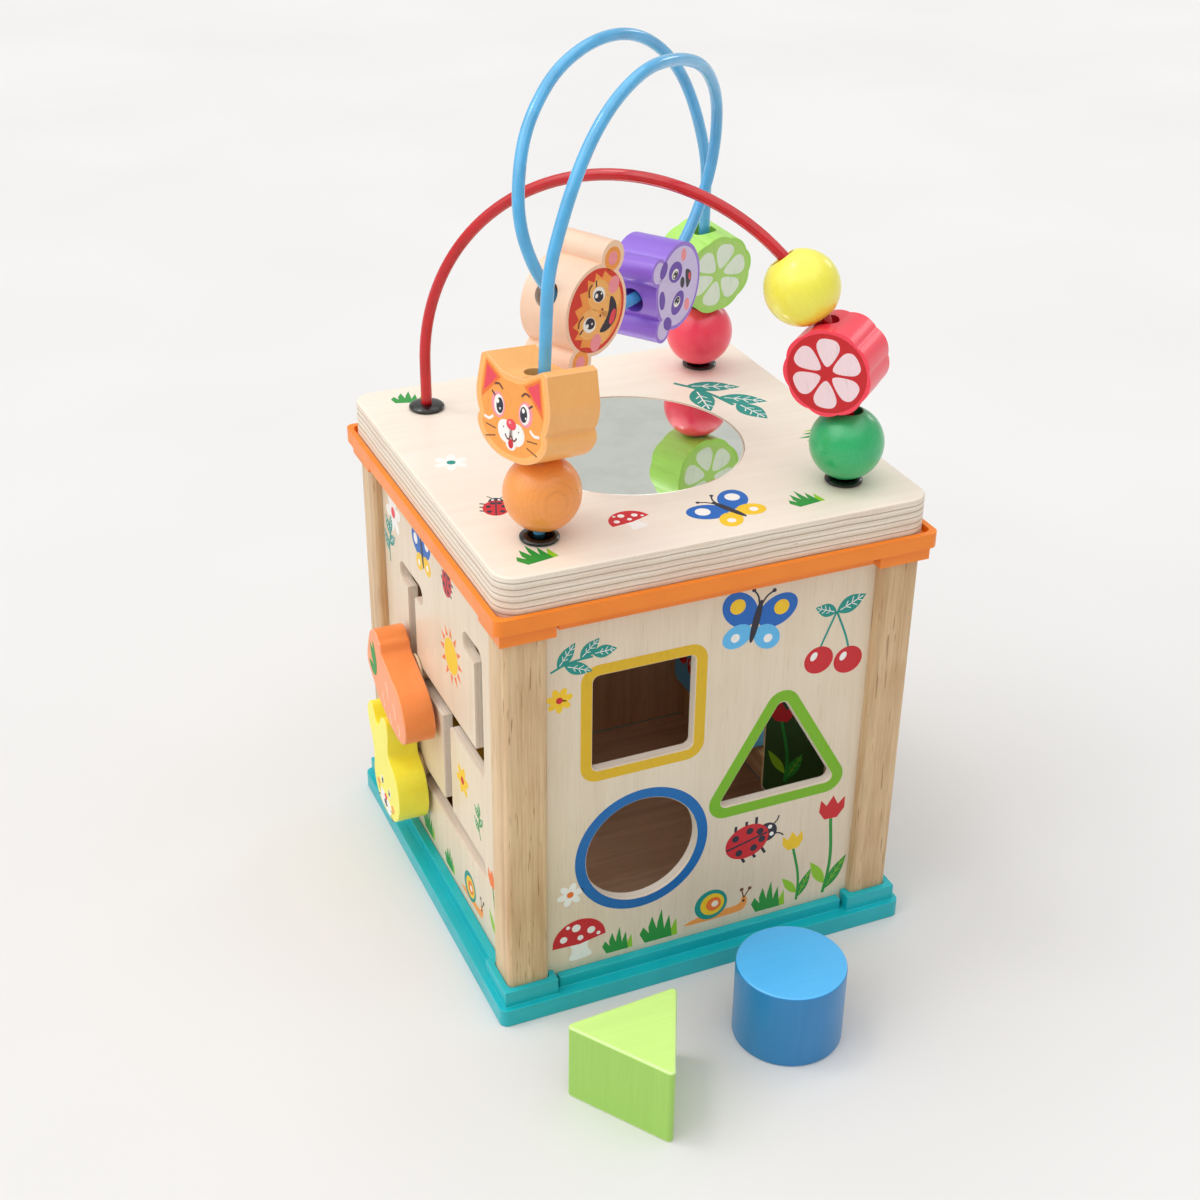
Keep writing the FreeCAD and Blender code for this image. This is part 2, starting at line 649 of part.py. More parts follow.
def mirror():
    top = BOARD_TOP - MIRROR_SUNK
    disc = Part.makeCylinder(MIRROR_R, MIRROR_T, Vector(0, 0, top - MIRROR_T))
    return disc.makeChamfer(MIRROR_BEVEL, edges_at_height(disc, top))


def wire_caps():
    bore = WIRE_R + RUNNING_FIT
    shoulder = CAP_EDGE + CAP_STEP
    top_r = CAP_FOOT_R - CAP_DOME
    dome = (CAP_FOOT_R - CAP_DOME / 2, (shoulder + 2 * CAP_HEIGHT) / 3)
    profile = [(bore, 0), (CAP_FOOT_R, 0), (CAP_R, CAP_EDGE / 2), (CAP_R, CAP_EDGE), (CAP_FOOT_R, shoulder),
               dome, (top_r, CAP_HEIGHT), (bore, CAP_HEIGHT)]
    places = [Vector(sx * FOOT_XY, sy * FOOT_XY, BOARD_TOP) for _, sx, sy in CORNERS]
    return Part.makeCompound([turned(profile, at) for at in places])


def wire_nuts():
    nuts = []
    for _, sx, sy in CORNERS:
        hexagon = prism_up(regular_polygon(6, NUT_FLATS / math.sqrt(3), 0), RIM_FLOOR - WASHER_T - NUT_T,
                           RIM_FLOOR - WASHER_T)
        washer = Part.makeCylinder(WASHER_R, WASHER_T, Vector(0, 0, RIM_FLOOR - WASHER_T))
        below = Vector(0, 0, RIM_FLOOR - NUT_T - WASHER_T - 1)
        bore = Part.makeCylinder(WIRE_R + RUNNING_FIT, NUT_T + WASHER_T + 2, below)
        nut = fuse([hexagon, washer]).cut(bore)
        nut.translate(Vector(sx * FOOT_XY, sy * FOOT_XY, 0))
        nuts.append(nut)
    return Part.makeCompound(nuts)


# Wires
def straight(a, b):
    return Part.LineSegment(a, b).toShape()


def legs_arc(start, corner, end):
    """The arc that leaves start and reaches end along two equal legs that meet at the corner."""
    middle = (start + end) * 0.5
    rise = (corner - middle).Length
    half = (end - start).Length / 2
    if rise < 1e-4:
        return straight(start, end)
    bulge = half * math.tan(math.atan2(rise, half) / 2)
    return Part.Arc(start, middle + (corner - middle) * (bulge / rise), end).toShape()


def biarc(a, ta, b, tb):
    v = b - a
    t = ta + tb
    k = 2 * (1 - ta.dot(tb))
    if k < 1e-9:
        d = v.dot(v) / (2 * v.dot(t))
    else:
        d = (math.sqrt(v.dot(t) ** 2 + k * v.dot(v)) - v.dot(t)) / k
    first = a + ta * d
    second = b - tb * d
    joint = (first + second) * 0.5
    return [legs_arc(a, first, joint), legs_arc(joint, second, b)]


def unit(v):
    return v * (1 / v.Length)


def circle_through(a, b, c):
    """Centre and unit normal of the circle through three points, turning from a to c."""
    ab = b - a
    ac = c - a
    n = ab.cross(ac)
    to_centre = (n.cross(ab) * ac.dot(ac) + ac.cross(n) * ab.dot(ab)) * (1 / (2 * n.dot(n)))
    return a + to_centre, unit(n)


def end_tangent(centre, normal, point):
    return unit(normal.cross(point - centre))


def leg_foot(side):
    """Where a leg of the blue wire turns from upright to its lean, just above its cap."""
    return diagonal(side * WIRE_FOOT, 0, BOARD_TOP + CAP_HEIGHT + WIRE_BEND)


def blue_route():
    """Edges of the blue wire's centre line, from its front tail to its rear tail."""
    front_foot = leg_foot(-1)
    rear_foot = leg_foot(1)
    front_top = diagonal(*FRONT_LEG_TOP)
    rear_top = diagonal(*REAR_LEG_TOP)
    up = Vector(0, 0, 1)
    bend = WIRE_BEND
    front_dir = unit(front_top - front_foot)
    rear_dir = unit(rear_top - rear_foot)
    rear_arc = [diagonal(*p) for p in LOOP_BOTTOM_REAR]
    front_arc = [diagonal(*p) for p in LOOP_BOTTOM_FRONT]
    edges = [straight(Vector(front_foot.x, front_foot.y, WIRE_END), front_foot - up * bend)]
    edges.append(legs_arc(front_foot - up * bend, front_foot, front_foot + front_dir * bend))
    edges.append(straight(front_foot + front_dir * bend, front_top))
    edges += smooth_run(front_top, front_dir, LOOP_OVER, rear_arc[0], arc_start_tangent(rear_arc))
    edges.append(Part.Arc(*rear_arc).toShape())
    edges += biarc(rear_arc[2], arc_end_tangent(rear_arc), front_arc[0], arc_start_tangent(front_arc))
    edges.append(Part.Arc(*front_arc).toShape())
    edges += smooth_run(front_arc[2], arc_end_tangent(front_arc), LOOP_BACK, rear_top, rear_dir * -1)
    edges.append(straight(rear_top, rear_foot + rear_dir * bend))
    edges.append(legs_arc(rear_foot + rear_dir * bend, rear_foot, rear_foot - up * bend))
    edges.append(straight(rear_foot - up * bend, Vector(rear_foot.x, rear_foot.y, WIRE_END)))
    return edges


def arc_start_tangent(points):
    centre, normal = circle_through(*points)
    return end_tangent(centre, normal, points[0])


def arc_end_tangent(points):
    centre, normal = circle_through(*points)
    return end_tangent(centre, normal, points[2])


def smooth_run(start, start_dir, middle, end, end_dir):
    """Tangent arcs from start to end through the middle points, given as (u, w, z)."""
    points = [start] + [diagonal(*p) for p in middle] + [end]
    tangents = [start_dir]
    for before, after in zip(points, points[2:]):
        tangents.append(unit(after - before))
    tangents.append(end_dir)
    edges = []
    for i in range(len(points) - 1):
        edges += biarc(points[i], tangents[i], points[i + 1], tangents[i + 1])
    return edges


def swept(edges, radius):
    path = Part.Wire(edges)
    start = edges[0].Vertexes[0].Point
    ring = Part.Wire(Part.makeCircle(radius, start, edges[0].tangentAt(edges[0].FirstParameter)))
    tube = path.makePipeShell([ring], True, False)
    ideal = math.pi * radius ** 2 * sum(e.Length for e in edges)
    print("tube volume against section times length:", round(tube.Volume / ideal, 4), "valid", tube.isValid())
    return tube


def blue_wire():
    return swept(blue_route(), WIRE_R)


def red_wire():
    left = diagonal(0, -WIRE_FOOT, 0)
    right = diagonal(0, WIRE_FOOT, 0)
    spring = Vector(0, 0, ARCH_CENTRE_Z)
    tail = Vector(0, 0, WIRE_END)
    top = Vector(0, 0, ARCH_CENTRE_Z + WIRE_FOOT)
    edges = [straight(right + tail, right + spring), Part.Arc(right + spring, top, left + spring).toShape(),
             straight(left + spring, left + tail)]
    return swept(edges, WIRE_R)


# Beads are made with the bore along +Z, the face towards -Y and the middle of the bore at the origin
def placed_bead(shape, centre, bore, yaw):
    toward = Vector(math.cos(math.radians(yaw)), math.sin(math.radians(yaw)), 0)
    z_axis = unit(bore)
    y_axis = unit(z_axis * z_axis.dot(toward) - toward)
    x_axis = y_axis.cross(z_axis)
    shape = shape.copy()
    shape.Placement = FreeCAD.Placement(centre, FreeCAD.Rotation(x_axis, y_axis, z_axis, "ZXY"))
    return shape


def bored(shape):
    long = 4 * BALL_R
    return shape.cut(Part.makeCylinder(BORE_R, long, Vector(0, 0, -long / 2)))


def ball():
    return bored(Part.makeSphere(BALL_R))


def extruded_bead(wire):
    """Extrudes a closed (x, z) wire, drawn at y = 0, through the bead's thickness."""
    face = Part.Face(wire)
    face.translate(Vector(0, -BEAD_T / 2, 0))
    return face.extrude(Vector(0, BEAD_T, 0))


def slice_bead():
    step = 2 * math.pi / SLICE_LOBES
    edges = []
    for i in range(SLICE_LOBES):
        trio = []
        for k, radius in ((0, SLICE_R - SLICE_DIP), (0.5, SLICE_R), (1, SLICE_R - SLICE_DIP)):
            a = math.pi / 2 + (i + k - 0.5) * step
            trio.append(Vector(radius * math.cos(a), 0, radius * math.sin(a)))
        edges.append(Part.Arc(*trio).toShape())
    return bored(extruded_bead(Part.Wire(edges)))


def disc_along_y(radius, x, z):
    return Part.makeCylinder(radius, BEAD_T, Vector(x, -BEAD_T / 2, z), Vector(0, 1, 0))


def head_with_ears(ear_r, ear_out, ear_angle):
    parts = [disc_along_y(HEAD_R, 0, 0)]
    for side in (-1, 1):
        a = math.radians(90 + side * ear_angle)
        parts.append(disc_along_y(ear_r, ear_out * math.cos(a), ear_out * math.sin(a)))
    return bored(fuse(parts))


def cat_bead():
    """A wide head, flattened at the brow, with two pointed ears and a crease under each cheek."""
    ear_root = (CAT_EAR_OUT - 10.0, CAT_BROW + 0.5)
    ear_tip = (CAT_EAR_OUT - 1.5, CAT_EAR_TOP - 0.4)
    ear_edge = (CAT_EAR_OUT + 0.7, CAT_EAR_TOP - 1.4)
    temple = (CAT_HALF_WIDTH, CAT_BROW - 6.0)
    cheek = (CAT_CHEEK, CAT_CREASE_Z + 4.0)
    crease = (CAT_CREASE, CAT_CREASE_Z)
    jowl = [(CAT_JOWL, CAT_CREASE_Z - 2.8), (CAT_JOWL - 1.9, -CAT_CHIN + 5.4), (CAT_JOWL - 6.3, -CAT_CHIN + 2.2),
            (CAT_JOWL - 12.3, -CAT_CHIN + 0.3)]
    half = [(0, CAT_BROW), ear_root, ear_tip, ear_edge, temple, cheek, crease] + jowl
    ring = half + [(0, -CAT_CHIN)] + [(-x, z) for x, z in reversed(half)]
    ring = [Vector(x, 0, z) for x, z in ring]
    corners = (0, 1, 2, 3, 4, 6, 16, 18, 19, 20, 21, 22)
    edges = [spline(ring[first:last + 1]) for first, last in zip(corners, corners[1:])]
    return bored(extruded_bead(Part.Wire(edges)))


def spline(points):
    if len(points) == 2:
        return straight(points[0], points[1])
    curve = Part.BSplineCurve()
    curve.interpolate(points)
    return curve.toShape()


def leg_bead_places(top):
    """Centres of a ball and of the bead on it, and the direction of the leaning leg."""
    side = math.copysign(1, top[0])
    foot = leg_foot(side)
    along = unit(diagonal(*top) - foot)
    tilt_drop = BORE_R * math.sqrt(1 - along.z ** 2)
    low = foot + along * ((BALL_REST + tilt_drop - foot.z) / along.z)
    high = low + along * (BALL_SEAT + BEAD_GAP + SLICE_R)
    return low - diagonal(side * LEG_BALL_SHIFT, 0, 0), high, along


def arch_point(angle):
    """A point of the red arch and its direction there, at an angle from the right-hand springing."""
    a = math.radians(angle)
    spring = Vector(0, 0, ARCH_CENTRE_Z)
    point = diagonal(0, WIRE_FOOT * math.cos(a), 0) + spring + Vector(0, 0, WIRE_FOOT * math.sin(a))
    tangent = diagonal(0, -math.sin(a), 0) + Vector(0, 0, math.cos(a))
    return point, tangent


def arch_bead_angles():
    ball_angle = -math.degrees(math.asin((ARCH_CENTRE_Z - BALL_REST) / WIRE_FOOT))
    apart = BALL_SEAT + SLICE_R + 2 * BEAD_GAP
    spacing = math.degrees(2 * math.asin(apart / (2 * (WIRE_FOOT - ARCH_BEAD_DROP))))
    return ball_angle, ball_angle + spacing, ball_angle + 2 * spacing


def loop_bead_place(points, along, tilt, drop, yaw):
    """Centre, bore direction and hinge of a bead hanging on an arc of the loop's bottom."""
    centre, normal = circle_through(*[diagonal(*p) for p in points])
    start = diagonal(*points[0])
    turn = FreeCAD.Rotation(normal, math.degrees(along / (start - centre).Length))
    radial = turn.multVec(start - centre)
    wire_at = centre + radial
    tangent = unit(normal.cross(radial))
    middle = wire_at - unit(radial) * drop
    toward = Vector(math.cos(math.radians(yaw)), math.sin(math.radians(yaw)), 0)
    flat = unit(tangent - toward * tangent.dot(toward))
    bore = FreeCAD.Rotation(toward, tilt).multVec(flat)
    return middle, bore, centre, normal


def panda_place():
    return loop_bead_place(tuple(reversed(LOOP_BOTTOM_REAR)), PANDA_ON_ARC, PANDA_TILT, PANDA_DROP, PANDA_YAW)


def monkey_place():
    return loop_bead_place(LOOP_BOTTOM_FRONT, MONKEY_ON_ARC, MONKEY_TILT, MONKEY_DROP, MONKEY_YAW)


def beads():
    made = {}
    low, high, along = leg_bead_places(FRONT_LEG_TOP)
    made["orange_ball"] = placed_bead(ball(), low, along, CAT_YAW)
    made["cat_bead"] = placed_bead(cat_bead(), high - Vector(CAT_SHIFT, 0, 0), along, CAT_YAW)
    low, high, along = leg_bead_places(REAR_LEG_TOP)
    made["pink_ball"] = placed_bead(ball(), low, along, GREEN_SLICE_YAW)
    made["green_slice"] = placed_bead(slice_bead(), high, along, GREEN_SLICE_YAW)
    over_foot = diagonal(0, WIRE_FOOT, BALL_REST)
    made["green_ball"] = placed_bead(ball(), over_foot, Vector(0, 0, 1), RED_SLICE_YAW)
    angles = arch_bead_angles()
    for name, shape, angle in (("red_slice", slice_bead(), angles[1]), ("yellow_ball", ball(), angles[2])):
        point, tangent = arch_point(angle)
        point -= unit(point - Vector(0, 0, ARCH_CENTRE_Z)) * ARCH_BEAD_DROP
        made[name] = placed_bead(shape, point, tangent, RED_SLICE_YAW)
    middle, bore, _, _ = panda_place()
    panda = head_with_ears(PANDA_EAR_R, PANDA_EAR_OUT, PANDA_EAR_ANGLE)
    made["panda_bead"] = placed_bead(panda, middle, bore * -1, PANDA_YAW)
    middle, bore, _, _ = monkey_place()
    monkey = head_with_ears(MONKEY_EAR_R, MONKEY_EAR_OUT, MONKEY_EAR_ANGLE)
    made["monkey_bead"] = placed_bead(monkey, middle, bore, MONKEY_YAW)
    return made


# Sliders of the maze
def figure(outline, pin):
    points = [Vector(FIGURE_FRONT, y, z) for y, z in outline]
    curve = Part.BSplineCurve()
    curve.interpolate(Points=points, PeriodicFlag=True)
    body = Part.Face(Part.Wire(curve.toShape())).extrude(Vector(FIGURE_T, 0, 0))
    back = Vector(FIGURE_BACK + 1, pin[0], pin[1])
    hole = rod(SLIDER_SCREW_R + RUNNING_FIT, back - Vector(SLIDER_SCREW_DEPTH + 2, 0, 0), back)
    return body.cut(hole)


def spool(pin):
    def at(x):
        return Vector(x, pin[0], pin[1])
    front_in = -PANEL_OUT - REST_GAP
    back_in = -PANEL_IN + REST_GAP
    front = rod(SPOOL_FRONT_R, at(front_in - SPOOL_FRONT_T + REST_GAP), at(front_in))
    stem = rod(SLOT_W / 2 - SPOOL_PLAY, at(front_in), at(back_in))
    back = rod(SPOOL_BACK_R, at(back_in), at(back_in + SPOOL_BACK_T))
    bore = rod(SLIDER_SCREW_R + RUNNING_FIT, at(FIGURE_FRONT), at(0))
    return fuse([front, stem, back]).cut(bore)


def slider_screw(pin):
    def at(x):
        return Vector(x, pin[0], pin[1])
    head_from = -PANEL_IN + REST_GAP + SPOOL_BACK_T + REST_GAP
    head = rod(SLIDER_HEAD_R, at(head_from), at(head_from + SLIDER_HEAD_T))
    head = head.makeFillet(SLIDER_HEAD_EDGE_R, [e for e in head.Edges if e.BoundBox.XMin > head_from + 1])
    shank = rod(SLIDER_SCREW_R, at(FIGURE_BACK - SLIDER_SCREW_DEPTH), at(head_from))
    return fuse([head, shank])


# Loose blocks
def prism_block():
    side = TRIANGLE_HOLE - PRISM_PLAY
    body = triangle_prism(side, PRISM_CORNER_R, 0, BLOCK_H, PRISM_TURN + 180)
    body.translate(Vector(PRISM_AT[0], PRISM_AT[1], 0))
    return body


def cylinder_block():
    radius = ROUND_HOLE_R - CYLINDER_PLAY / 2
    body = Part.makeCylinder(radius, BLOCK_H, Vector(CYLINDER_AT[0], CYLINDER_AT[1], 0))
    return body.makeFillet(BLOCK_EDGE_R, edges_at_height(body, BLOCK_H) + edges_at_height(body, 0))


def square_block():
    half = (SQUARE_HOLE - SQUARE_PLAY) / 2
    x, y = SQUARE_BLOCK_AT
    body = block(x - half, x + half, y - half, y + half, TRAY_LEDGE, TRAY_LEDGE + BLOCK_H)
    return body.makeFillet(BLOCK_EDGE_R, body.Edges)


# Screws
def base_screws():
    made = []
    for _, sx, sy in CORNERS:
        at = Vector(sx * POST_MID, sy * POST_MID, SCREW_SUNK)
        made.append(turned(sunk_screw_profile(SCREW_R, SCREW_HEAD_R, SCREW_LENGTH), at))
    return Part.makeCompound(made)


def rim_screws():
    made = []
    for _, sx, sy in CORNERS:
        at = Vector(sx * POST_MID, sy * POST_MID, RIM_FLOOR - SCREW_SUNK)
        made.append(turned(sunk_screw_profile(SCREW_R, SCREW_HEAD_R, SCREW_LENGTH), at, Vector(0, 0, -1)))
    return Part.makeCompound(made)


def board_screws():
    top = RIM_FLOOR + BOARD_SCREW_BITE
    made = []
    for x, y in board_screw_places():
        head = rod(BOARD_SCREW_HEAD_R, Vector(x, y, POST_TOP - BOARD_SCREW_HEAD_T), Vector(x, y, POST_TOP))
        shank = rod(BOARD_SCREW_R, Vector(x, y, POST_TOP), Vector(x, y, top))
        made.append(fuse([head, shank]))
    return Part.makeCompound(made)


def build():
    nodes = {
        "base_tray": base_tray(),
        "floor_board": floor_board(),
        "panel_front": panel_front(),
        "panel_left": panel_left(),
        "panel_back": panel_back(),
        "panel_right": panel_right(),
        "top_rim": top_rim(),
        "top_board": top_board(),
        "mirror": mirror(),
        "wire_caps": wire_caps(),
        "wire_nuts": wire_nuts(),
        "red_wire": red_wire(),
        "blue_wire": blue_wire(),
        "rail_low": rail_low(),
        "rail_high": rail_high(),
        "picture_rods": picture_rods(),
        "gear_axles": gear_axles(),
        "carrot": figure(CARROT_BODY, CARROT_PIN),
        "carrot_spool": spool(CARROT_PIN),
        "carrot_screw": slider_screw(CARROT_PIN),
        "rabbit": figure(RABBIT_BODY, RABBIT_PIN),
        "rabbit_spool": spool(RABBIT_PIN),
        "rabbit_screw": slider_screw(RABBIT_PIN),
        "prism_block": prism_block(),
        "cylinder_block": cylinder_block(),
        "square_block": square_block(),
        "base_screws": base_screws(),
        "rim_screws": rim_screws(),
        "board_screws": board_screws(),
    }
    for name, sx, sy in CORNERS:
        nodes["post_" + name] = post(sx, sy)
    for y, name, turn in picture_places():
        nodes["picture_block_" + name] = picture_block(y, turn)
    phases = gear_phases()
    for name, x, z in gear_centres():
        nodes["gear_" + name] = gear(x, z, phases[name])
    nodes.update(beads())
    return nodes


def main():
    os.makedirs("parts", exist_ok=True)
    for name, shape in build().items():
        shape.exportStep("parts/" + name + ".step")
        print(name, "solids", len(shape.Solids), "volume", round(shape.Volume), "valid", shape.isValid())


if __name__ == "__main__":
    main()
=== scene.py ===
import json
import math

import bmesh
import bpy
from mathutils import Matrix, Vector

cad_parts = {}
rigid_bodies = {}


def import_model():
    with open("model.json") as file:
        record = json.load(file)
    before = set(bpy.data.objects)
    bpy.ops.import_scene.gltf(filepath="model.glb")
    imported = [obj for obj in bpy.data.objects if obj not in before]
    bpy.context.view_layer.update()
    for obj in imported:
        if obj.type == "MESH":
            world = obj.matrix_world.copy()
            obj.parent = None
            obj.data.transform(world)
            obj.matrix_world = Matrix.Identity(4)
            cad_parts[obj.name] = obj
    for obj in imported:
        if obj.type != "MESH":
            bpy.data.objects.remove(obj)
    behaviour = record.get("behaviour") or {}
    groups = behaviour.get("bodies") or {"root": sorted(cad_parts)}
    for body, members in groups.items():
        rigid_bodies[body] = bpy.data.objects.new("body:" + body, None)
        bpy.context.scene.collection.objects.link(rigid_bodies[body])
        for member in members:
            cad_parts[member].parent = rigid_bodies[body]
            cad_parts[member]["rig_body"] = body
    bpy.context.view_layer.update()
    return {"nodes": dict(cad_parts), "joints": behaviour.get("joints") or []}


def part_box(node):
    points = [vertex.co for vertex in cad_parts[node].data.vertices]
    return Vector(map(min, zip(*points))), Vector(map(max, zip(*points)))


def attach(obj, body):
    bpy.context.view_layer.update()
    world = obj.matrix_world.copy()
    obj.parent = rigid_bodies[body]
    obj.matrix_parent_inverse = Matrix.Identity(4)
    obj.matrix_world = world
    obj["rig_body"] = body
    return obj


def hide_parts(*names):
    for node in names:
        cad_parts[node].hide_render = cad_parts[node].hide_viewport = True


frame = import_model()

MM = 0.001

# Places and sizes of the CAD model that the looks follow, in millimetres
PANEL_OUT = 71.7
RIM_FLOOR = 159.5
BOARD_TOP = 174.5
BEAD_HALF = 9.5
FIGURE_FRONT = -85.3
GEAR_FACE = 81.7
PICTURE_ROD_X = 57.5
PICTURE_HALF = 11.985

# Thickness of one ply in the panels and in the top
PLY = 1.34
BOARD_PLY = 2.143

# Turning blocks: name, y of the rod, and the angle that the block stands at
PICTURE_BLOCKS = (("front", -36.0, -40.0), ("middle", 0.0, 0.0), ("rear", 36.0, 0.0))

# Gears: name, slot, and the inks of the petals and the ring
GEAR_PRINTS = (
    ("left", "red_paint", "yellow", "white"),
    ("middle", "yellow_paint", "blue", "red"),
    ("right", "green_paint", "white", "yellow"),
)

# Holes of the front panel: middle, then side or radius
SQUARE_HOLE = ((-24.8, 111.6), 37.0)
ROUND_HOLE = ((-24.2, 55.9), 21.0)
TRIANGLE_HOLE = ((27.6, 78.2), 47.4)

# Painted bands round those holes: how far they reach, and the gap that keeps the ink off the cut edge.
# Those of the triangle are added to its side.
ROUND_BAND = 4.1
SQUARE_BAND = 4.2
TRIANGLE_BAND = 15.4
BAND_GAP = 0.25
TRIANGLE_GAP = 0.9

# Edges are rounded by this much, in this many steps
BALL_ROUNDING = 0.5
BEAD_ROUNDING = 0.9
ROUNDING_STEPS = 2

# Radii of the printed discs, rings and petals, and two corners of a turning block's picture
FACE_DISC = 13.6
SLICE_FLESH = 12.0
GEAR_RING = (10.2, 8.8)
GEAR_PETALS_AT = 13.2
PICTURE_GROUND = ((-11.2, 40.8), (11.2, 123.2))

# Inks stand this far proud of a face, more for each layer
INK_LIFT = 0.03
INK_STEP = 0.02
INK_SUNK = 0.1

# Beads: how far each reaches up its bore from its middle, and the compass angle that its face looks towards
BEADS = {
    "orange_ball": (11.7, -165.0),
    "cat_bead": (16.6, -165.0),
    "pink_ball": (11.7, -80.0),
    "green_slice": (15.0, -80.0),
    "green_ball": (11.7, -140.0),
    "red_slice": (15.0, -140.0),
    "yellow_ball": (11.7, -140.0),
    "panda_bead": (16.54, -55.0),
    "monkey_bead": (15.0, -63.0),
}

# So many faces nearest a bead's middle lie on the wall of its bore, which has more.
# The bore's top end looks up, or left in the dip.
BORE_FACES = 40
BORE_TOP = Vector((-1, 0, 1))


# Materials
def srgb(r, g, b):
    """A colour written as it shows on a screen, 0 to 255."""
    def linear(c):
        c /= 255
        return c / 12.92 if c <= 0.04045 else ((c + 0.055) / 1.055) ** 2.4
    return (linear(r), linear(g), linear(b), 1.0)


class Shader:
    """A node material whose textures read the piece's own coordinates, in millimetres."""

    def __init__(self, name, roughness, coat=0.0):
        self.material = bpy.data.materials.new(name)
        self.material.use_nodes = True
        self.tree = self.material.node_tree
        self.tree.nodes.clear()
        out = self.tree.nodes.new("ShaderNodeOutputMaterial")
        self.bsdf = self.tree.nodes.new("ShaderNodeBsdfPrincipled")
        self.link(self.bsdf.outputs[0], out.inputs["Surface"])
        self.bsdf.inputs["Roughness"].default_value = roughness
        self.bsdf.inputs["Coat Weight"].default_value = coat
        self.bsdf.inputs["Coat Roughness"].default_value = 0.2
        coords = self.tree.nodes.new("ShaderNodeTexCoord")
        self.coords = coords.outputs["Object"]

    def link(self, source, target):
        self.tree.links.new(source, target)

    def put(self, socket, value):
        if isinstance(value, bpy.types.NodeSocket):
            self.link(value, socket)
        else:
            socket.default_value = value

    def mapped(self, scale, turn=(0, 0, 0)):
        node = self.tree.nodes.new("ShaderNodeMapping")
        self.link(self.coords, node.inputs["Vector"])
        node.inputs["Scale"].default_value = [s / MM for s in scale]
        node.inputs["Rotation"].default_value = [math.radians(a) for a in turn]
        return node.outputs[0]

    def noise(self, vector, scale, detail=2.0, rough=0.5, twist=0.0):
        node = self.tree.nodes.new("ShaderNodeTexNoise")
        self.link(vector, node.inputs["Vector"])
        for key, value in (("Scale", scale), ("Detail", detail), ("Roughness", rough), ("Distortion", twist)):
            node.inputs[key].default_value = value
        return node.outputs["Fac"]

    def math(self, kind, a, b):
        node = self.tree.nodes.new("ShaderNodeMath")
        node.operation = kind
        self.put(node.inputs[0], a)
        self.put(node.inputs[1], b)
        return node.outputs[0]

    def plus(self, a, b):
        return self.math("ADD", a, b)

    def less(self, a, b):
        return self.math("SUBTRACT", a, b)

    def times(self, a, b):
        return self.math("MULTIPLY", a, b)

    def ramp(self, value, low, high, out_low=0.0, out_high=1.0):
        node = self.tree.nodes.new("ShaderNodeMapRange")
        node.interpolation_type = "SMOOTHSTEP"
        self.put(node.inputs["Value"], value)
        for key, number in (("From Min", low), ("From Max", high), ("To Min", out_low), ("To Max", out_high)):
            node.inputs[key].default_value = number
        return node.outputs["Result"]

    def mix(self, amount, first, second):
        node = self.tree.nodes.new("ShaderNodeMix")
        node.data_type = "RGBA"
        self.put(node.inputs[0], amount)
        self.put(node.inputs[6], first)
        self.put(node.inputs[7], second)
        return node.outputs[2]

    def bump(self, height, distance, strength):
        node = self.tree.nodes.new("ShaderNodeBump")
        node.inputs["Strength"].default_value = strength
        node.inputs["Distance"].default_value = distance * MM
        self.link(height, node.inputs["Height"])
        self.link(node.outputs[0], self.bsdf.inputs["Normal"])

    def edge(self):
        """How much a point lies on a rounded edge, kept in the mesh by softened()."""
        node = self.tree.nodes.new("ShaderNodeAttribute")
        node.attribute_name = "edge"
        return node.outputs["Fac"]

    def split(self):
        node = self.tree.nodes.new("ShaderNodeSeparateXYZ")
        self.link(self.mapped((1, 1, 1)), node.inputs[0])
        return node.outputs

    def colour(self, value):
        self.put(self.bsdf.inputs["Base Color"], value)


# Textures of wood are scaled by this along the grain, which draws them out
STRETCH = {"x": (0.03, 1, 1), "y": (1, 0.03, 1), "z": (1, 1, 0.03)}

# Tints of flaws in wood and of plywood's edges
PORE_BROWN = srgb(150, 112, 74)
FLECK_BROWN = srgb(140, 92, 48)
PINK_PLY = srgb(228, 186, 164)
GLUE_LINE = srgb(150, 124, 96)
KNOT = srgb(146, 96, 62)
PLY_PALE = srgb(250, 240, 224)
PLY_DARK = srgb(230, 214, 192)


def shade(tint, factor, lift=0.0):
    """The tint made darker or paler, kept within range."""
    return tuple(min(1.0, c * factor + lift) for c in tint[:3]) + (1.0,)


def toward(tint, value, amount):
    """The tint moved part of the way to a grey value."""
    return tuple(c + (value - c) * amount for c in tint[:3]) + (1.0,)


def fibres(shader, along, size=1.0):
    """Textures drawn out along the grain: fine fibres, broad bands, fine pores and a few long dark flecks."""
    vector = shader.mapped([s / size for s in STRETCH[along]])
    fine = shader.noise(vector, 1.6, 4.0, 0.65)
    bands = shader.noise(vector, 0.16, 2.0, 0.5, 0.8)
    pores = shader.ramp(shader.noise(vector, 2.6, 1.0, 0.4), 0.64, 0.74)
    short = shader.mapped([s * 2.2 if s < 1 else s for s in STRETCH[along]])
    flecks = shader.ramp(shader.noise(short, 1.1, 1.0, 0.4), 0.69, 0.75)
    return fine, bands, pores, flecks


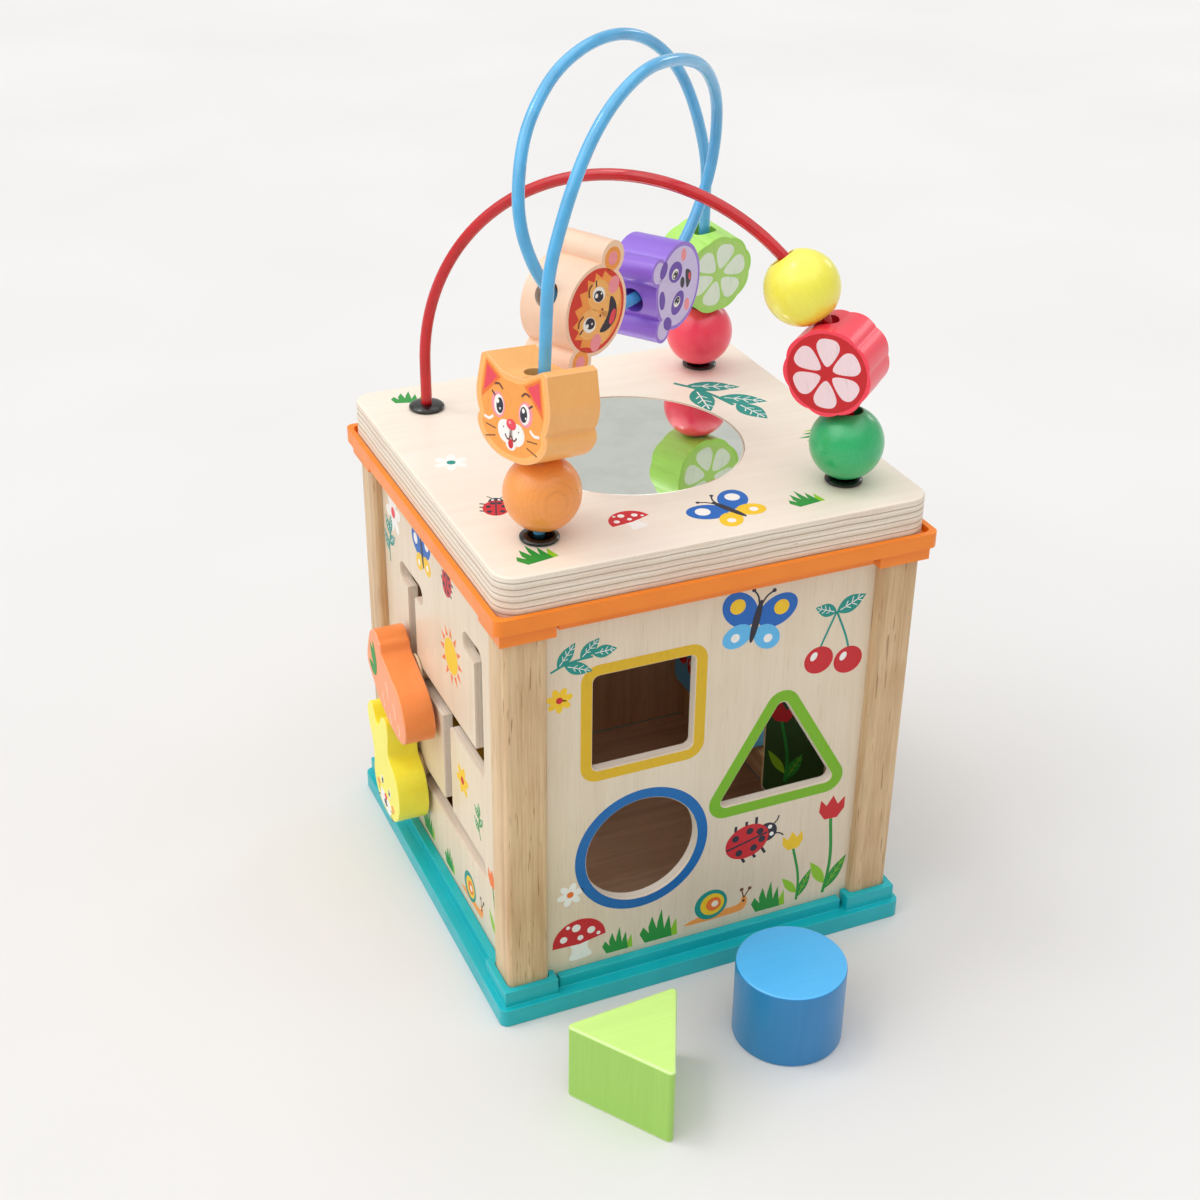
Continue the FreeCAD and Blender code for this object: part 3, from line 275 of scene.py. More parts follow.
def wood(name, pale, dark, along, pore=0.12, fleck=0.0, band=0.6, roughness=0.42, coat=0.25):
    """Bare wood between two tints, with pores and flecks in it."""
    shader = Shader(name, roughness, coat)
    fine, bands, pores, flecks = fibres(shader, along)
    tone = shader.plus(shader.times(fine, 1 - band), shader.times(bands, band))
    cloud = shader.noise(shader.mapped((0.03, 0.03, 0.03)), 1.0, 2.0)
    tone = shader.plus(tone, shader.times(shader.less(cloud, 0.5), 0.35))
    body = shader.mix(shader.ramp(tone, 0.34, 0.7), pale, dark)
    body = shader.mix(shader.times(pores, pore), body, PORE_BROWN)
    body = shader.mix(shader.times(flecks, fleck), body, FLECK_BROWN)
    shader.colour(body)
    shader.bump(shader.less(fine, shader.times(pores, 0.6)), 0.04, 0.5)
    return shader.material


def ply_edge(name, axis, start, ply, glue, pink, pale=PLY_PALE, dark=PLY_DARK):
    """The cut edge of plywood: pale plies stacked along an axis, with thin dark glue lines between."""
    shader = Shader(name, 0.6, 0.05)
    depth = shader.split()[axis]
    waver = shader.noise(shader.mapped((0.05, 0.05, 0.05)), 1.0, 2.0)
    depth = shader.plus(depth, shader.times(shader.less(waver, 0.5), ply * 0.5))
    place = shader.math("DIVIDE", shader.less(depth, start), ply)
    line = shader.ramp(shader.math("PINGPONG", place, 0.5), 0.05, 0.15, 1.0, 0.0)
    cross = shader.ramp(shader.math("PINGPONG", place, 1.0), 0.42, 0.58)
    grit = shader.noise(shader.mapped((1, 1, 1)), 1.6, 4.0, 0.7)
    warm = shader.noise(shader.mapped((0.02, 0.02, 0.25)), 1.0, 2.0)
    middle = tuple((p + d) / 2 for p, d in zip(pale, dark))
    pale_ply = shader.mix(shader.ramp(grit, 0.3, 0.75), pale, middle)
    end_ply = shader.mix(shader.ramp(grit, 0.3, 0.75), middle, dark)
    body = shader.mix(cross, pale_ply, end_ply)
    body = shader.mix(shader.times(shader.ramp(warm, 0.45, 0.7), pink), body, PINK_PLY)
    body = shader.mix(shader.times(line, glue), body, GLUE_LINE)
    knots = shader.ramp(shader.noise(shader.mapped((0.08, 0.08, 0.5)), 1.0, 2.0), 0.72, 0.78)
    body = shader.mix(shader.times(knots, 0.6), body, KNOT)
    shader.colour(body)
    shader.bump(shader.plus(grit, shader.times(line, -0.6)), 0.1, 0.6)
    return shader.material


def stain(name, tint, along, rings=0.0, roughness=0.38, coat=0.35, depth=0.08):
    """Coloured lacquer on turned or sawn wood: the grain shows through, and edges are rubbed paler."""
    shader = Shader(name, roughness, coat)
    fine, bands, pores, _ = fibres(shader, along, 1.2)
    dark = shade(tint, 1 - depth * 2.2)
    pale = shade(tint, 1 + depth, depth * 0.12)
    tone = shader.plus(shader.times(fine, 0.55), shader.times(bands, 0.45))
    if rings:
        wave = shader.tree.nodes.new("ShaderNodeTexWave")
        wave.wave_type = "RINGS"
        wave.rings_direction = "Y"
        shader.link(shader.mapped((1, 1, 0.35), (8, 0, 14)), wave.inputs["Vector"])
        for key, value in (("Scale", 0.3), ("Distortion", 3.2), ("Detail", 2.0), ("Detail Scale", 0.35)):
            wave.inputs[key].default_value = value
        line = shader.ramp(wave.outputs["Fac"], 0.5, 1.0)
        tone = shader.plus(tone, shader.times(line, rings))
    body = shader.mix(shader.ramp(tone, 0.3, 0.62), pale, tint)
    body = shader.mix(shader.ramp(tone, 0.58, 0.95), body, dark)
    body = shader.mix(shader.times(pores, depth * 1.6), body, dark)
    rub = shader.times(shader.edge(), shader.ramp(bands, 0.25, 0.7, 0.25, 0.65))
    body = shader.mix(rub, body, toward(pale, 1, 0.3))
    shader.colour(body)
    shader.bump(shader.less(fine, pores), 0.04, 0.5)
    return shader.material


def plastic(name, tint, roughness, coat, speck):
    """Moulded plastic: faintly clouded, with a fine surface and paler edges."""
    shader = Shader(name, roughness, coat)
    cloud = shader.noise(shader.mapped((0.05, 0.05, 0.05)), 1.0, 3.0)
    fine = shader.noise(shader.mapped((1, 1, 1)), 3.0, 3.0, 0.7)
    dark = shade(tint, 1 - 2.5 * speck)
    pale = shade(tint, 1 + 2 * speck, speck * 0.2)
    body = shader.mix(shader.ramp(cloud, 0.3, 0.7), pale, dark)
    body = shader.mix(shader.times(shader.edge(), 0.3), body, pale)
    shader.colour(body)
    gloss = shader.ramp(cloud, 0.2, 0.8, roughness * 0.85, roughness * 1.2)
    shader.put(shader.bsdf.inputs["Roughness"], gloss)
    shader.bump(fine, 0.015, 0.5)
    return shader.material


def coated(name, tint, coat):
    """Glossy lacquer on wire, a little darker where hands have worn it."""
    shader = Shader(name, 0.22, coat)
    wear = shader.noise(shader.mapped((0.12, 0.12, 0.12)), 1.0, 3.0, 0.6)
    shader.colour(shader.mix(shader.ramp(wear, 0.35, 0.7), tint, shade(tint, 0.86)))
    shader.bsdf.inputs["Coat Roughness"].default_value = 0.08
    shader.bump(shader.noise(shader.mapped((0.6, 0.6, 0.6)), 1.0, 2.0), 0.03, 0.4)
    return shader.material


def metal(name, tint, roughness, smudge):
    """Metal or mirror, duller in smudges."""
    shader = Shader(name, roughness)
    shader.bsdf.inputs["Metallic"].default_value = 1.0
    cloud = shader.noise(shader.mapped((0.08, 0.08, 0.08)), 1.0, 3.0, 0.6)
    shader.colour(shader.mix(shader.ramp(cloud, 0.4, 0.7), tint, shade(tint, 0.93)))
    gloss = shader.ramp(cloud, 0.4, 0.8, roughness, roughness + smudge)
    shader.put(shader.bsdf.inputs["Roughness"], gloss)
    return shader.material


def ink_material(name, tint):
    """Screen ink on veneer: a thin flat colour with the fibres just showing."""
    shader = Shader(name, 0.5, 0.06)
    vector = shader.mapped((0.5, 0.5, 0.08))
    fine = shader.noise(vector, 2.4, 4.0, 0.7)
    body = shader.mix(shader.ramp(fine, 0.28, 0.5), shade(tint, 0.88), tint)
    body = shader.mix(shader.ramp(fine, 0.6, 0.85), body, toward(tint, 0.8, 0.08))
    shader.colour(body)
    shader.bump(fine, 0.02, 0.4)
    return shader.material


# The darkest green ground ink is partly the picture's own green and partly painted shade for the inside of
# the cube.
INK_TINTS = {
    "teal": (0, 146, 134), "green": (30, 148, 52), "lime": (146, 203, 30), "shaded_moss": (40, 80, 30),
    "red": (208, 16, 30), "rose": (240, 66, 84), "rust": (220, 48, 26), "pink": (250, 152, 162),
    "yellow": (250, 204, 20), "gold": (226, 182, 0), "orange": (244, 116, 26), "tan": (252, 160, 70),
    "ginger": (254, 164, 70), "honey": (254, 188, 104), "brown": (112, 50, 20), "navy": (26, 22, 44),
    "blue": (0, 100, 192), "sky": (96, 190, 244), "band_blue": (0, 104, 178), "band_green": (122, 184, 0),
    "band_lime": (182, 230, 116), "lilac": (214, 202, 248), "violet": (106, 62, 182),
    "white": (250, 248, 243), "cream": (252, 236, 212), "pink_white": (252, 226, 232),
    "mint_white": (236, 250, 230),
}
INKS = {name: ink_material("ink_" + name, srgb(*tint)) for name, tint in INK_TINTS.items()}

PALE_WOOD = srgb(237, 220, 195)
WARM_WOOD = srgb(229, 210, 183)
POST_PALE = srgb(228, 197, 154)
POST_DARK = srgb(196, 156, 110)
# Bare unlacquered ply inside the cube, browner and darker than the outer veneer: partly the bare wood's own
# tone, partly painted shade for the closed inside.
RAW_SHADED_PALE = srgb(226, 188, 154)
RAW_SHADED_DARK = srgb(206, 166, 132)

# Blender puts a number after a name that the frame's own materials have, so the key is the name before it
MATERIALS = {look.name.split(".")[0]: look for look in (
    wood("birch_face", srgb(248, 236, 221), srgb(244, 230, 212), "x", 0.04, 0.0, 0.6),
    ply_edge("board_edge", 2, RIM_FLOOR, BOARD_PLY, 0.68, 0.3),
    wood("veneer_upright", PALE_WOOD, WARM_WOOD, "z", 0.1, 0.12, 0.5),
    # Inner faces of the panels and the floor board: bare ply, darkened partly as painted shade for the inside
    # of the cube.
    wood("raw_inside", RAW_SHADED_PALE, RAW_SHADED_DARK, "z", 0.2, 0.2, 0.6, 0.7, 0.0),
    wood("raw_floor", srgb(222, 186, 154), srgb(200, 162, 130), "x", 0.2, 0.2, 0.6, 0.7, 0.0),
    ply_edge("panel_edge_front", 1, -PANEL_OUT, PLY, 0.1, 0.0, srgb(254, 246, 234), srgb(246, 232, 212)),
    ply_edge("panel_edge_side", 0, -PANEL_OUT, PLY, 0.12, 0.1, srgb(255, 243, 226), srgb(248, 228, 204)),
    wood("pine_post", POST_PALE, POST_DARK, "z", 0.25, 0.62, 0.5, 0.5, 0.15),
    wood("rail_wood", POST_PALE, POST_DARK, "y", 0.3, 0.3),
    wood("axle_wood", srgb(232, 208, 170), srgb(206, 176, 132), "y", 0.3, 0.3),
    plastic("teal_plastic", srgb(0, 180, 190), 0.36, 0.1, 0.02),
    plastic("orange_plastic", srgb(255, 136, 8), 0.36, 0.1, 0.02),
    plastic("black_plastic", srgb(3, 3, 4), 0.2, 0.2, 0.002),
    metal("mirror_face", srgb(238, 242, 236), 0.02, 0.03),
    metal("mirror_ground_edge", srgb(250, 246, 240), 0.3, 0.15),
    metal("zinc_steel", srgb(176, 176, 172), 0.35, 0.15),
    coated("red_coat", srgb(208, 0, 18), 0.3),
    coated("blue_coat", srgb(84, 184, 238), 0.7),
    wood("block_wood", PALE_WOOD, WARM_WOOD, "z", 0.35),
    stain("orange_stain", srgb(250, 158, 74), "y", 0.14),
    stain("cat_stain", srgb(252, 180, 100), "x"),
    stain("yellow_stain", srgb(253, 243, 82), "z", 0.04, 0.3, 0.5, 0.05),
    stain("green_stain", srgb(30, 178, 104), "x", 0.06, 0.3, 0.5, 0.09),
    stain("pink_stain", srgb(255, 60, 88), "z", 0.03, 0.3, 0.5, 0.06),
    stain("red_stain", srgb(255, 54, 80), "y"),
    stain("lime_stain", srgb(170, 228, 92), "y", depth=0.06),
    stain("violet_stain", srgb(144, 98, 221), "y"),
    stain("peach_stain", srgb(252, 212, 182), "x", depth=0.06),
    # Lit and shaded copies of one paint for the prism and for the cylinder. The end faces (top and bottom)
    # take the paler copy as painted light from above, and the sides take the darker copy as painted shade.
    stain("prism_end", srgb(204, 244, 136), "x", depth=0.05),
    stain("prism_paint", srgb(160, 209, 88), "z", depth=0.05),
    stain("cylinder_end", srgb(80, 186, 248), "x", depth=0.05),
    stain("cylinder_paint", srgb(16, 126, 188), "z", depth=0.05),
    stain("square_paint", srgb(244, 206, 56), "z", depth=0.05),
    stain("carrot_paint", srgb(254, 144, 69), "y", depth=0.07),
    stain("rabbit_paint", srgb(255, 242, 60), "z", depth=0.07),
    stain("gear_red", srgb(222, 66, 62), "x", depth=0.1),
    stain("gear_yellow", srgb(246, 206, 60), "x", depth=0.1),
    stain("gear_green", srgb(96, 186, 92), "x", depth=0.1),
)}


# Meshes
def stand(name, data):
    """A new object in the scene."""
    made = bpy.data.objects.new(name, data)
    bpy.context.scene.collection.objects.link(made)
    return made


def mesh_of(name, bm):
    mesh = bpy.data.meshes.new(name)
    bm.to_mesh(mesh)
    bm.free()
    return mesh


def softened(node, name, width, materials, pick=None, place=None, sharp=32.0):
    """A copy of a CAD solid with its edges rounded by width, in millimetres, standing for that node."""
    source = frame["nodes"][node]
    bm = bmesh.new()
    bm.from_mesh(source.data)
    if place:
        bm.transform(place.inverted())
    bmesh.ops.remove_doubles(bm, verts=bm.verts, dist=1e-6)
    bmesh.ops.dissolve_limit(bm, angle_limit=math.radians(0.4), verts=bm.verts, edges=bm.edges)
    for face in bm.faces:
        face.material_index = pick(face) if pick else 0
        face.smooth = True
    layer = bm.verts.layers.float.new("edge")
    corners = [e for e in bm.edges if len(e.link_faces) == 2 and e.calc_face_angle(0) > math.radians(sharp)]
    if width:
        made = bmesh.ops.bevel(bm, geom=corners, offset=width * MM, offset_type="OFFSET",
                               segments=ROUNDING_STEPS, profile=0.5, affect="EDGES", clamp_overlap=True)
        rounded = set(made["faces"])
        for vert in {v for f in rounded for v in f.verts}:
            vert[layer] = 1.0 if all(f in rounded for f in vert.link_faces) else 0.0
    else:
        for edge in corners:
            edge.smooth = False
    mesh = mesh_of(name, bm)
    piece = stand(name, mesh)
    for material in materials:
        mesh.materials.append(MATERIALS[material])
    if width:
        normals = piece.modifiers.new("flat_faces", "WEIGHTED_NORMAL")
        normals.weight = 60
    if place:
        piece.matrix_world = place
    bpy.context.view_layer.update()
    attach(piece, source["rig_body"])
    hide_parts(node)
    return piece


class Print:
    """Ink on one flat face: thin closed plates, each a little prouder than the one under it."""

    def __init__(self, name, body, slot, place, matrix=None):
        self.name, self.body, self.slot, self.place = name, body, slot, place
        self.matrix = matrix
        self.bm = bmesh.new()
        self.inks = []

    def index(self, ink):
        if ink not in self.inks:
            self.inks.append(ink)
        return self.inks.index(ink)

    def loops(self, points, level):
        lift = INK_LIFT + level * INK_STEP
        low = [self.bm.verts.new(self.place(x, y, -INK_SUNK) * MM) for x, y in points]
        high = [self.bm.verts.new(self.place(x, y, lift) * MM) for x, y in points]
        return low, high

    def fill(self, ink, points, level=0):
        """A plate within one outline."""
        low, high = self.loops(points, level)
        faces = [self.bm.faces.new(high), self.bm.faces.new(low[::-1])]
        faces += self.skirt(low, high)
        self.close(faces, ink)

    def ring(self, ink, outer, inner):
        """A plate between two outlines of as many points."""
        out_low, out_high = self.loops(outer, 0)
        in_low, in_high = self.loops(inner, 0)
        faces = self.skirt(out_low, out_high) + self.skirt(in_high, in_low)
        faces += self.skirt(out_high, in_high) + self.skirt(in_low, out_low)
        self.close(faces, ink)

    def skirt(self, one, other):
        count = len(one)
        faces = []
        for i in range(count):
            j = (i + 1) % count
            faces.append(self.bm.faces.new((one[i], one[j], other[j], other[i])))
        return faces

    def close(self, faces, ink):
        bmesh.ops.recalc_face_normals(self.bm, faces=faces)
        for face in faces:
            face.material_index = self.index(ink)

    def done(self):
        """Makes the print an object that rides on its body."""
        mesh = mesh_of(self.name, self.bm)
        for ink in self.inks:
            mesh.materials.append(INKS[ink])
        piece = stand(self.name, mesh)
        if self.matrix:
            piece.matrix_world = self.matrix
        bpy.context.view_layer.update()
        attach(piece, self.body)


def polar(r, degrees):
    a = math.radians(degrees)
    return r * math.cos(a), r * math.sin(a)


def ellipse(x, y, rx, ry=None, turn=0.0, count=40, start=0.0, sweep=360.0):
    """Points round an ellipse, or along a part of it."""
    ry = rx if ry is None else ry
    closed = abs(sweep) >= 360
    points = []
    c, s = math.cos(math.radians(turn)), math.sin(math.radians(turn))
    for i in range(count if closed else count + 1):
        a = math.radians(start + sweep * i / count)
        u, v = rx * math.cos(a), ry * math.sin(a)
        points.append((x + u * c - v * s, y + u * s + v * c))
    return points


def rounded_loop(corners, radius):
    """A convex polygon with its corners rounded, with the same number of points at each corner."""
    steps = 10
    points = []
    count = len(corners)
    for i, corner in enumerate(corners):
        p = Vector(corner)
        to_last = (Vector(corners[i - 1]) - p).normalized()
        to_next = (Vector(corners[(i + 1) % count]) - p).normalized()
        half = to_last.angle(to_next) / 2
        middle = p + (to_last + to_next).normalized() * (radius / math.sin(half))
        first = p + to_last * (radius / math.tan(half)) - middle
        last = p + to_next * (radius / math.tan(half)) - middle
        span = first.angle_signed(last)
        for k in range(steps + 1):
            a = -span * k / steps
            points.append((middle.x + first.x * math.cos(a) - first.y * math.sin(a),
                           middle.y + first.x * math.sin(a) + first.y * math.cos(a)))
    return points


def curve(p0, p1, p2, p3, steps):
    """Catmull-Rom points from p1 to just before p2."""
    out = []
    for k in range(steps):
        t = k / steps
        out.append(0.5 * ((2 * p1) + (p2 - p0) * t + (2 * p0 - 5 * p1 + 4 * p2 - p3) * t * t
                          + (3 * p1 - p0 - 3 * p2 + p3) * t ** 3))
    return out


def smooth_closed(points, steps=5):
    """A closed curve through all its points."""
    out = []
    count = len(points)
    for i in range(count):
        out += curve(*(Vector(points[(i + k) % count]) for k in (-1, 0, 1, 2)), steps)
    return [tuple(q) for q in out]


def smooth_open(points):
    """A curve through a few points, or the points themselves where there are many."""
    path = [Vector(p) for p in points]
    if len(path) < 3 or len(path) > 7:
        return path
    path = [path[0] * 2 - path[1]] + path + [path[-1] * 2 - path[-2]]
    out = []
    for four in zip(path, path[1:], path[2:], path[3:]):
        out += curve(*four, 4)
    return out + [path[-2]]


# Motifs
class Pen:
    """Draws on a print about a point of its own, turned and scaled."""

    def __init__(self, sheet, x, y, scale=1.0, turn=0.0, level=0):
        self.sheet, self.x, self.y, self.scale, self.level = sheet, x, y, scale, level
        self.c, self.s = math.cos(math.radians(turn)), math.sin(math.radians(turn))

    def at(self, points):
        k, c, s = self.scale, self.c, self.s
        return [(self.x + k * (u * c - v * s), self.y + k * (u * s + v * c)) for u, v in points]

    def fill(self, ink, points, level=0):
        self.sheet.fill(ink, self.at(points), self.level + level)

    def oval(self, ink, x, y, rx, ry=None, turn=0.0, level=0):
        self.fill(ink, ellipse(x, y, rx, ry, turn, 32), level)

    def stroke(self, ink, points, width, level=0):
        """A line of even width, curving through its points."""
        path = smooth_open(points)
        left, right = [], []
        for i, p in enumerate(path):
            run = (path[min(i + 1, len(path) - 1)] - path[max(i - 1, 0)]).normalized()
            side = Vector((-run.y, run.x)) * (width / 2)
            left.append(tuple(p + side))
            right.append(tuple(p - side))
        self.fill(ink, left + right[::-1], level)

    def leaf(self, ink, x, y, length, width, turn=0.0, level=0, vein=None):
        c, s = math.cos(math.radians(turn)), math.sin(math.radians(turn))
        def put(u, v):
            return (x + u * c - v * s, y + u * s + v * c)
        def half(k):
            return width / 2 * math.sin(math.pi * (k / 10) ** 0.85)
        upper = [put(length * k / 10, half(k)) for k in range(11)]
        lower = [put(length * k / 10, -half(k)) for k in range(9, 0, -1)]
        self.fill(ink, upper + lower, level)
        if vein:
            self.stroke(vein, [put(length * 0.12, 0), put(length * 0.9, 0)], width * 0.06, level + 1)
            for k in (0.3, 0.5, 0.7):
                for side in (-1, 1):
                    tip = put(length * (k + 0.13), side * width * 0.3 * math.sin(math.pi * k))
                    self.stroke(vein, [put(length * k, 0), tip], width * 0.05, level + 1)


def daisy(pen, ink="white", eye="red", petals=6, r=6.0):
    for i in range(petals):
        a = 360 * i / petals + 12
        pen.oval(ink, *polar(0.58 * r, a), 0.46 * r, 0.27 * r, a, i % 2)
    pen.oval(eye, 0, 0, 0.26 * r, level=2)


def tuft(pen):
    blades = ((-4.6, 5.2, -2.2), (-2.2, 8.0, -0.8), (0.4, 9.6, 0.6), (2.6, 7.0, 2.4), (4.6, 5.4, 4.0))
    for k, (tip, height, root) in enumerate(blades):
        points = [(root - 1.5, 0), (tip - 0.6, height * 0.6), (tip + 0.4, height), (root + 1.5, 0)]
        pen.fill("lime" if k == 4 else "green", points, k % 2)


def mushroom(pen):
    stalk = [(-3.2, 0), (3.2, 0), (2.4, 3.2), (2.6, 6.6), (-2.6, 6.6), (-2.4, 3.2)]
    pen.fill("white", smooth_closed(stalk))
    pen.fill("red", [(-8.2, 6.0)] + ellipse(0, 6.4, 8, 7.4, 0, 24, 180, -180) + [(8.2, 6.0), (0, 5.0)], 1)
    spots = ((-4.6, 8.2, 1.1), (-0.6, 11.0, 1.3), (3.8, 8.8, 1.2), (0.4, 7.2, 0.9), (5.9, 6.9, 0.6),
             (-3, 12, 0.6))
    for x, y, r in spots:
        pen.oval("white", x, y, r, level=2)


def butterfly(pen, upper="blue", lower="sky", spot="yellow"):
    for side in (-1, 1):
        pen.oval(upper, side * 4.8, 3.4, 5.2, 3.8, side * 38)
        pen.oval(lower, side * 3.8, -3.2, 3.7, 2.9, side * -32, 1)
        pen.oval(spot, side * 5.6, 4.2, 1.9, level=2)
        pen.oval("white", side * 4.2, -3.6, 1.1, level=2)
        feeler = [(0.2 * side, 4.6), (side * 1.1, 6.8), (side * 2.5, 8.2)]
        pen.stroke("navy", feeler, 0.4, 2)
        pen.oval("navy", side * 2.6, 8.3, 0.5, level=3)
    pen.oval("navy", 0, 0.6, 0.9, 5.4, level=3)


def ladybird(pen):
    pen.oval("navy", 5.2, 0, 2.6)
    for k in (-2.4, 0.4, 3.0):
        for side in (-1, 1):
            pen.stroke("navy", [(k, side * 3.4), (k + 0.6, side * 5.6)], 0.7)
    pen.oval("red", 0, 0, 5.6, 4.6, level=1)
    pen.stroke("navy", [(-5.4, 0), (5.2, 0)], 0.5, 2)
    for x, y in ((-2.6, 2.2), (1.2, 2.6), (-2.6, -2.2), (1.2, -2.6), (3.6, 1.2), (3.6, -1.2)):
        pen.oval("navy", x, y, 0.9, level=2)
    for side in (-1, 1):
        pen.oval("white", 6.2, side * 1.1, 0.55, level=2)
        pen.stroke("navy", [(6.8, side * 1.2), (8.2, side * 2.0), (9.0, side * 3.1)], 0.35, 1)


def tulip(pen, ink, height):
    stem = [(math.sin(k * 0.5) * 0.9, height * k / 8) for k in range(9)]
    pen.stroke("green", stem, 0.9)
    pen.leaf("green", 0.4, 1.0, 11, 3.2, 62, 1, "lime")
    pen.leaf("lime", 0.0, 3.0, 9, 2.8, 122, 1)
    x, y = stem[-1]
    cup = [(x - 3.4, y + 5.2), (x - 3.6, y + 1.8), (x - 1.8, y - 0.8), (x + 1.8, y - 0.8), (x + 3.6, y + 1.8),
           (x + 3.4, y + 5.2), (x + 1.6, y + 3.2), (x, y + 6.0), (x - 1.6, y + 3.2)]
    pen.fill(ink, cup, 2)


def sprig(pen, ink, vein, leaves, length):
    stem = [(length * k / 8, 1.4 * math.sin(k / 8 * math.pi)) for k in range(9)]
    pen.stroke(ink, stem, 0.8)
    for i in range(leaves):
        k = (i + 1.0) / (leaves + 0.4)
        side = -1 if i % 2 else 1
        pen.leaf(ink, length * k, 1.2 * math.sin(k * math.pi), 8.4 - i * 0.5, 3.6, side * 46, 1, vein)
    pen.leaf(ink, length, 0, 7, 3.2, 0, 1, vein)


def broad_leaves(pen, ink, vein):
    pen.stroke(ink, [(0, 0), (8, 1.2), (16, 0.6), (24, -1.0)], 1.3)
    for x, length, turn in ((4, 17, 40), (8, 17, -36), (17, 15, 30), (24, 14, -12)):
        pen.leaf(ink, x, 0.6, length, 7.4, turn, 1 if turn > 0 else 3, vein)


def snail(pen):
    body = [(-9, 0), (7, 0), (10.2, 1.4), (10.6, 4.4), (9.0, 5.0), (7.4, 2.6), (-3, 2.2)]
    pen.fill("tan", smooth_closed(body))
    for x, y in ((11.4, 7.6), (8.8, 7.8)):
        pen.stroke("brown", [(9.6, 4.6), (x, y)], 0.4)
        pen.oval("brown", x, y, 0.6, level=1)
    for r, ink in ((5.2, "teal"), (3.8, "yellow"), (2.4, "orange"), (1.1, "cream")):
        pen.oval(ink, -1.0 + (5.2 - r) * 0.3, 5.4, r, level=1 + int(5.2 - r))
    pen.oval("navy", 9.6, 3.6, 0.45, level=2)


def sun(pen):
    r = 5.0
    for i in range(12):
        ray = ((1.12, 30 * i - 9), (1.7, 30 * i), (1.12, 30 * i + 9))
        pen.fill("orange", [polar(k * r, a) for k, a in ray])
    pen.oval("yellow", 0, 0, r, level=1)


def cherries(pen, ink="red", leaf="teal"):
    for x, y, bend in ((-5.6, -8.0, -3.4), (6.0, -10.4, 4.6)):
        stem = [(bend * math.sin(k / 8 * 1.5), 10.0 + (y - 6.0) * k / 8) for k in range(9)]
        pen.stroke(leaf, [(px + (x - bend) * (k / 8) ** 2, py) for k, (px, py) in enumerate(stem)], 0.8)
        pen.oval(ink, x, y, 5.6, 5.3, level=1)
        pen.oval("white", x - 2.0, y + 1.8, 1.2, 1.8, -30, 2)
    pen.leaf(leaf, 0.0, 9.6, 12.0, 6.4, 24, 1, "white")
    pen.leaf(leaf, 0.0, 9.6, 9.0, 5.0, 158, 1, "white")


# Prints: where a point lies, given millimetres along the face, up it and proud of it
def on_front(x, y, h):
    return Vector((x, -PANEL_OUT - h, y))


def on_back(x, y, h):
    return Vector((-x, PANEL_OUT + h, y))


def on_left(x, y, h):
    return Vector((-PANEL_OUT - h, -x, y))


def on_right(x, y, h):
    return Vector((PANEL_OUT + h, x, y))


def on_board(x, y, h):
    return Vector((x, y, BOARD_TOP + h))


def hole_bands(sheet):
    """The painted bands round the three holes of the front."""
    (x, y), side = SQUARE_HOLE
    def square(half):
        return [(x - half, y - half), (x + half, y - half), (x + half, y + half), (x - half, y + half)]
    outer, inner = square(side / 2 + SQUARE_BAND), square(side / 2 + BAND_GAP)
    sheet.ring("gold", rounded_loop(outer, 6.4), rounded_loop(inner, 2.6))
    (x, y), r = ROUND_HOLE
    sheet.ring("band_blue", ellipse(x, y, r + ROUND_BAND, count=72), ellipse(x, y, r + BAND_GAP, count=72))
    (x, y), side = TRIANGLE_HOLE
    def triangle(length):
        corners = [polar(length / math.sqrt(3), a) for a in (90, 210, 330)]
        return [(x + u, y + v) for u, v in corners]
    outer, inner = triangle(side + TRIANGLE_BAND), triangle(side + TRIANGLE_GAP)
    sheet.ring("band_green", rounded_loop(outer, 6.6), rounded_loop(inner, 2.6))


# The motifs of each face: place, scale and turn of the pen, and the inks and sizes that a motif asks for
FRONT_MOTIFS = (
    (butterfly, (15, 137, 1.5, -12)),
    (cherries, (46, 125, 1.0)),
    (broad_leaves, (-58, 135, 0.62, 14), "teal", "white"),
    (daisy, (-55, 124, 0.72), "yellow", "red", 7, 6.4),
    (ladybird, (17, 47, 1.55, 14)),
    (mushroom, (-47, 15, 1.25, 4)),
    (tulip, (50, 14, 1.45, -3), "red", 24),
    (tulip, (39, 14, 1.15, 5), "yellow", 22),
    (snail, (5, 16, 1.25)),
    (daisy, (-51, 44, 0.8), "white", "orange", 6, 6),
    (tuft, (-33, 13.5, 1.1)),
    (tuft, (-17, 13.5, 1.4)),
    (tuft, (27, 13.5, 1.3)),
)
LEFT_MOTIFS = (
    (daisy, (-47, 139, 1.3), "white", "rose", 6, 6.4),
    (sprig, (-53, 116, 1.1, 82), "teal", "white", 3, 12),
    (butterfly, (-14, 138, 1.1, 12), "blue", "yellow", "white"),
    (sun, (14, 112, 1.35)),
    (ladybird, (12, 140, 1.0, 70)),
    (tulip, (53, 15, 1.1, 3), "orange", 22),
    (snail, (28, 15, 1.15)),
    (tuft, (-50, 14, 1.2)),
    (tuft, (-20, 13.5, 1.2)),
    (tuft, (4, 13.5, 1.0)),
    (daisy, (22, 65, 1.0), "yellow", "red", 6, 6),
    (sprig, (40, 51, 0.8, 96), "green", "white", 3, 12),
)
RIGHT_MOTIFS = (
    (sprig, (-54, 138, 1.0, -4), "green", "white", 4, 18),
    (daisy, (0, 141, 1.2), "white", "red", 6, 6),
    (butterfly, (40, 139, 1.0, -10), "orange", "yellow", "white"),
    (ladybird, (-17, 140, 0.9, 180)),
    (mushroom, (46, 13, 1.3)),
    (tuft, (-50, 13.5, 1.3)),
    (tuft, (-30, 13.5, 1.0)),
    (tuft, (28, 13.5, 1.2)),
    (daisy, (-14, 24, 1.1), "yellow", "red", 7, 6),
    (snail, (8, 15, 1.2)),
)
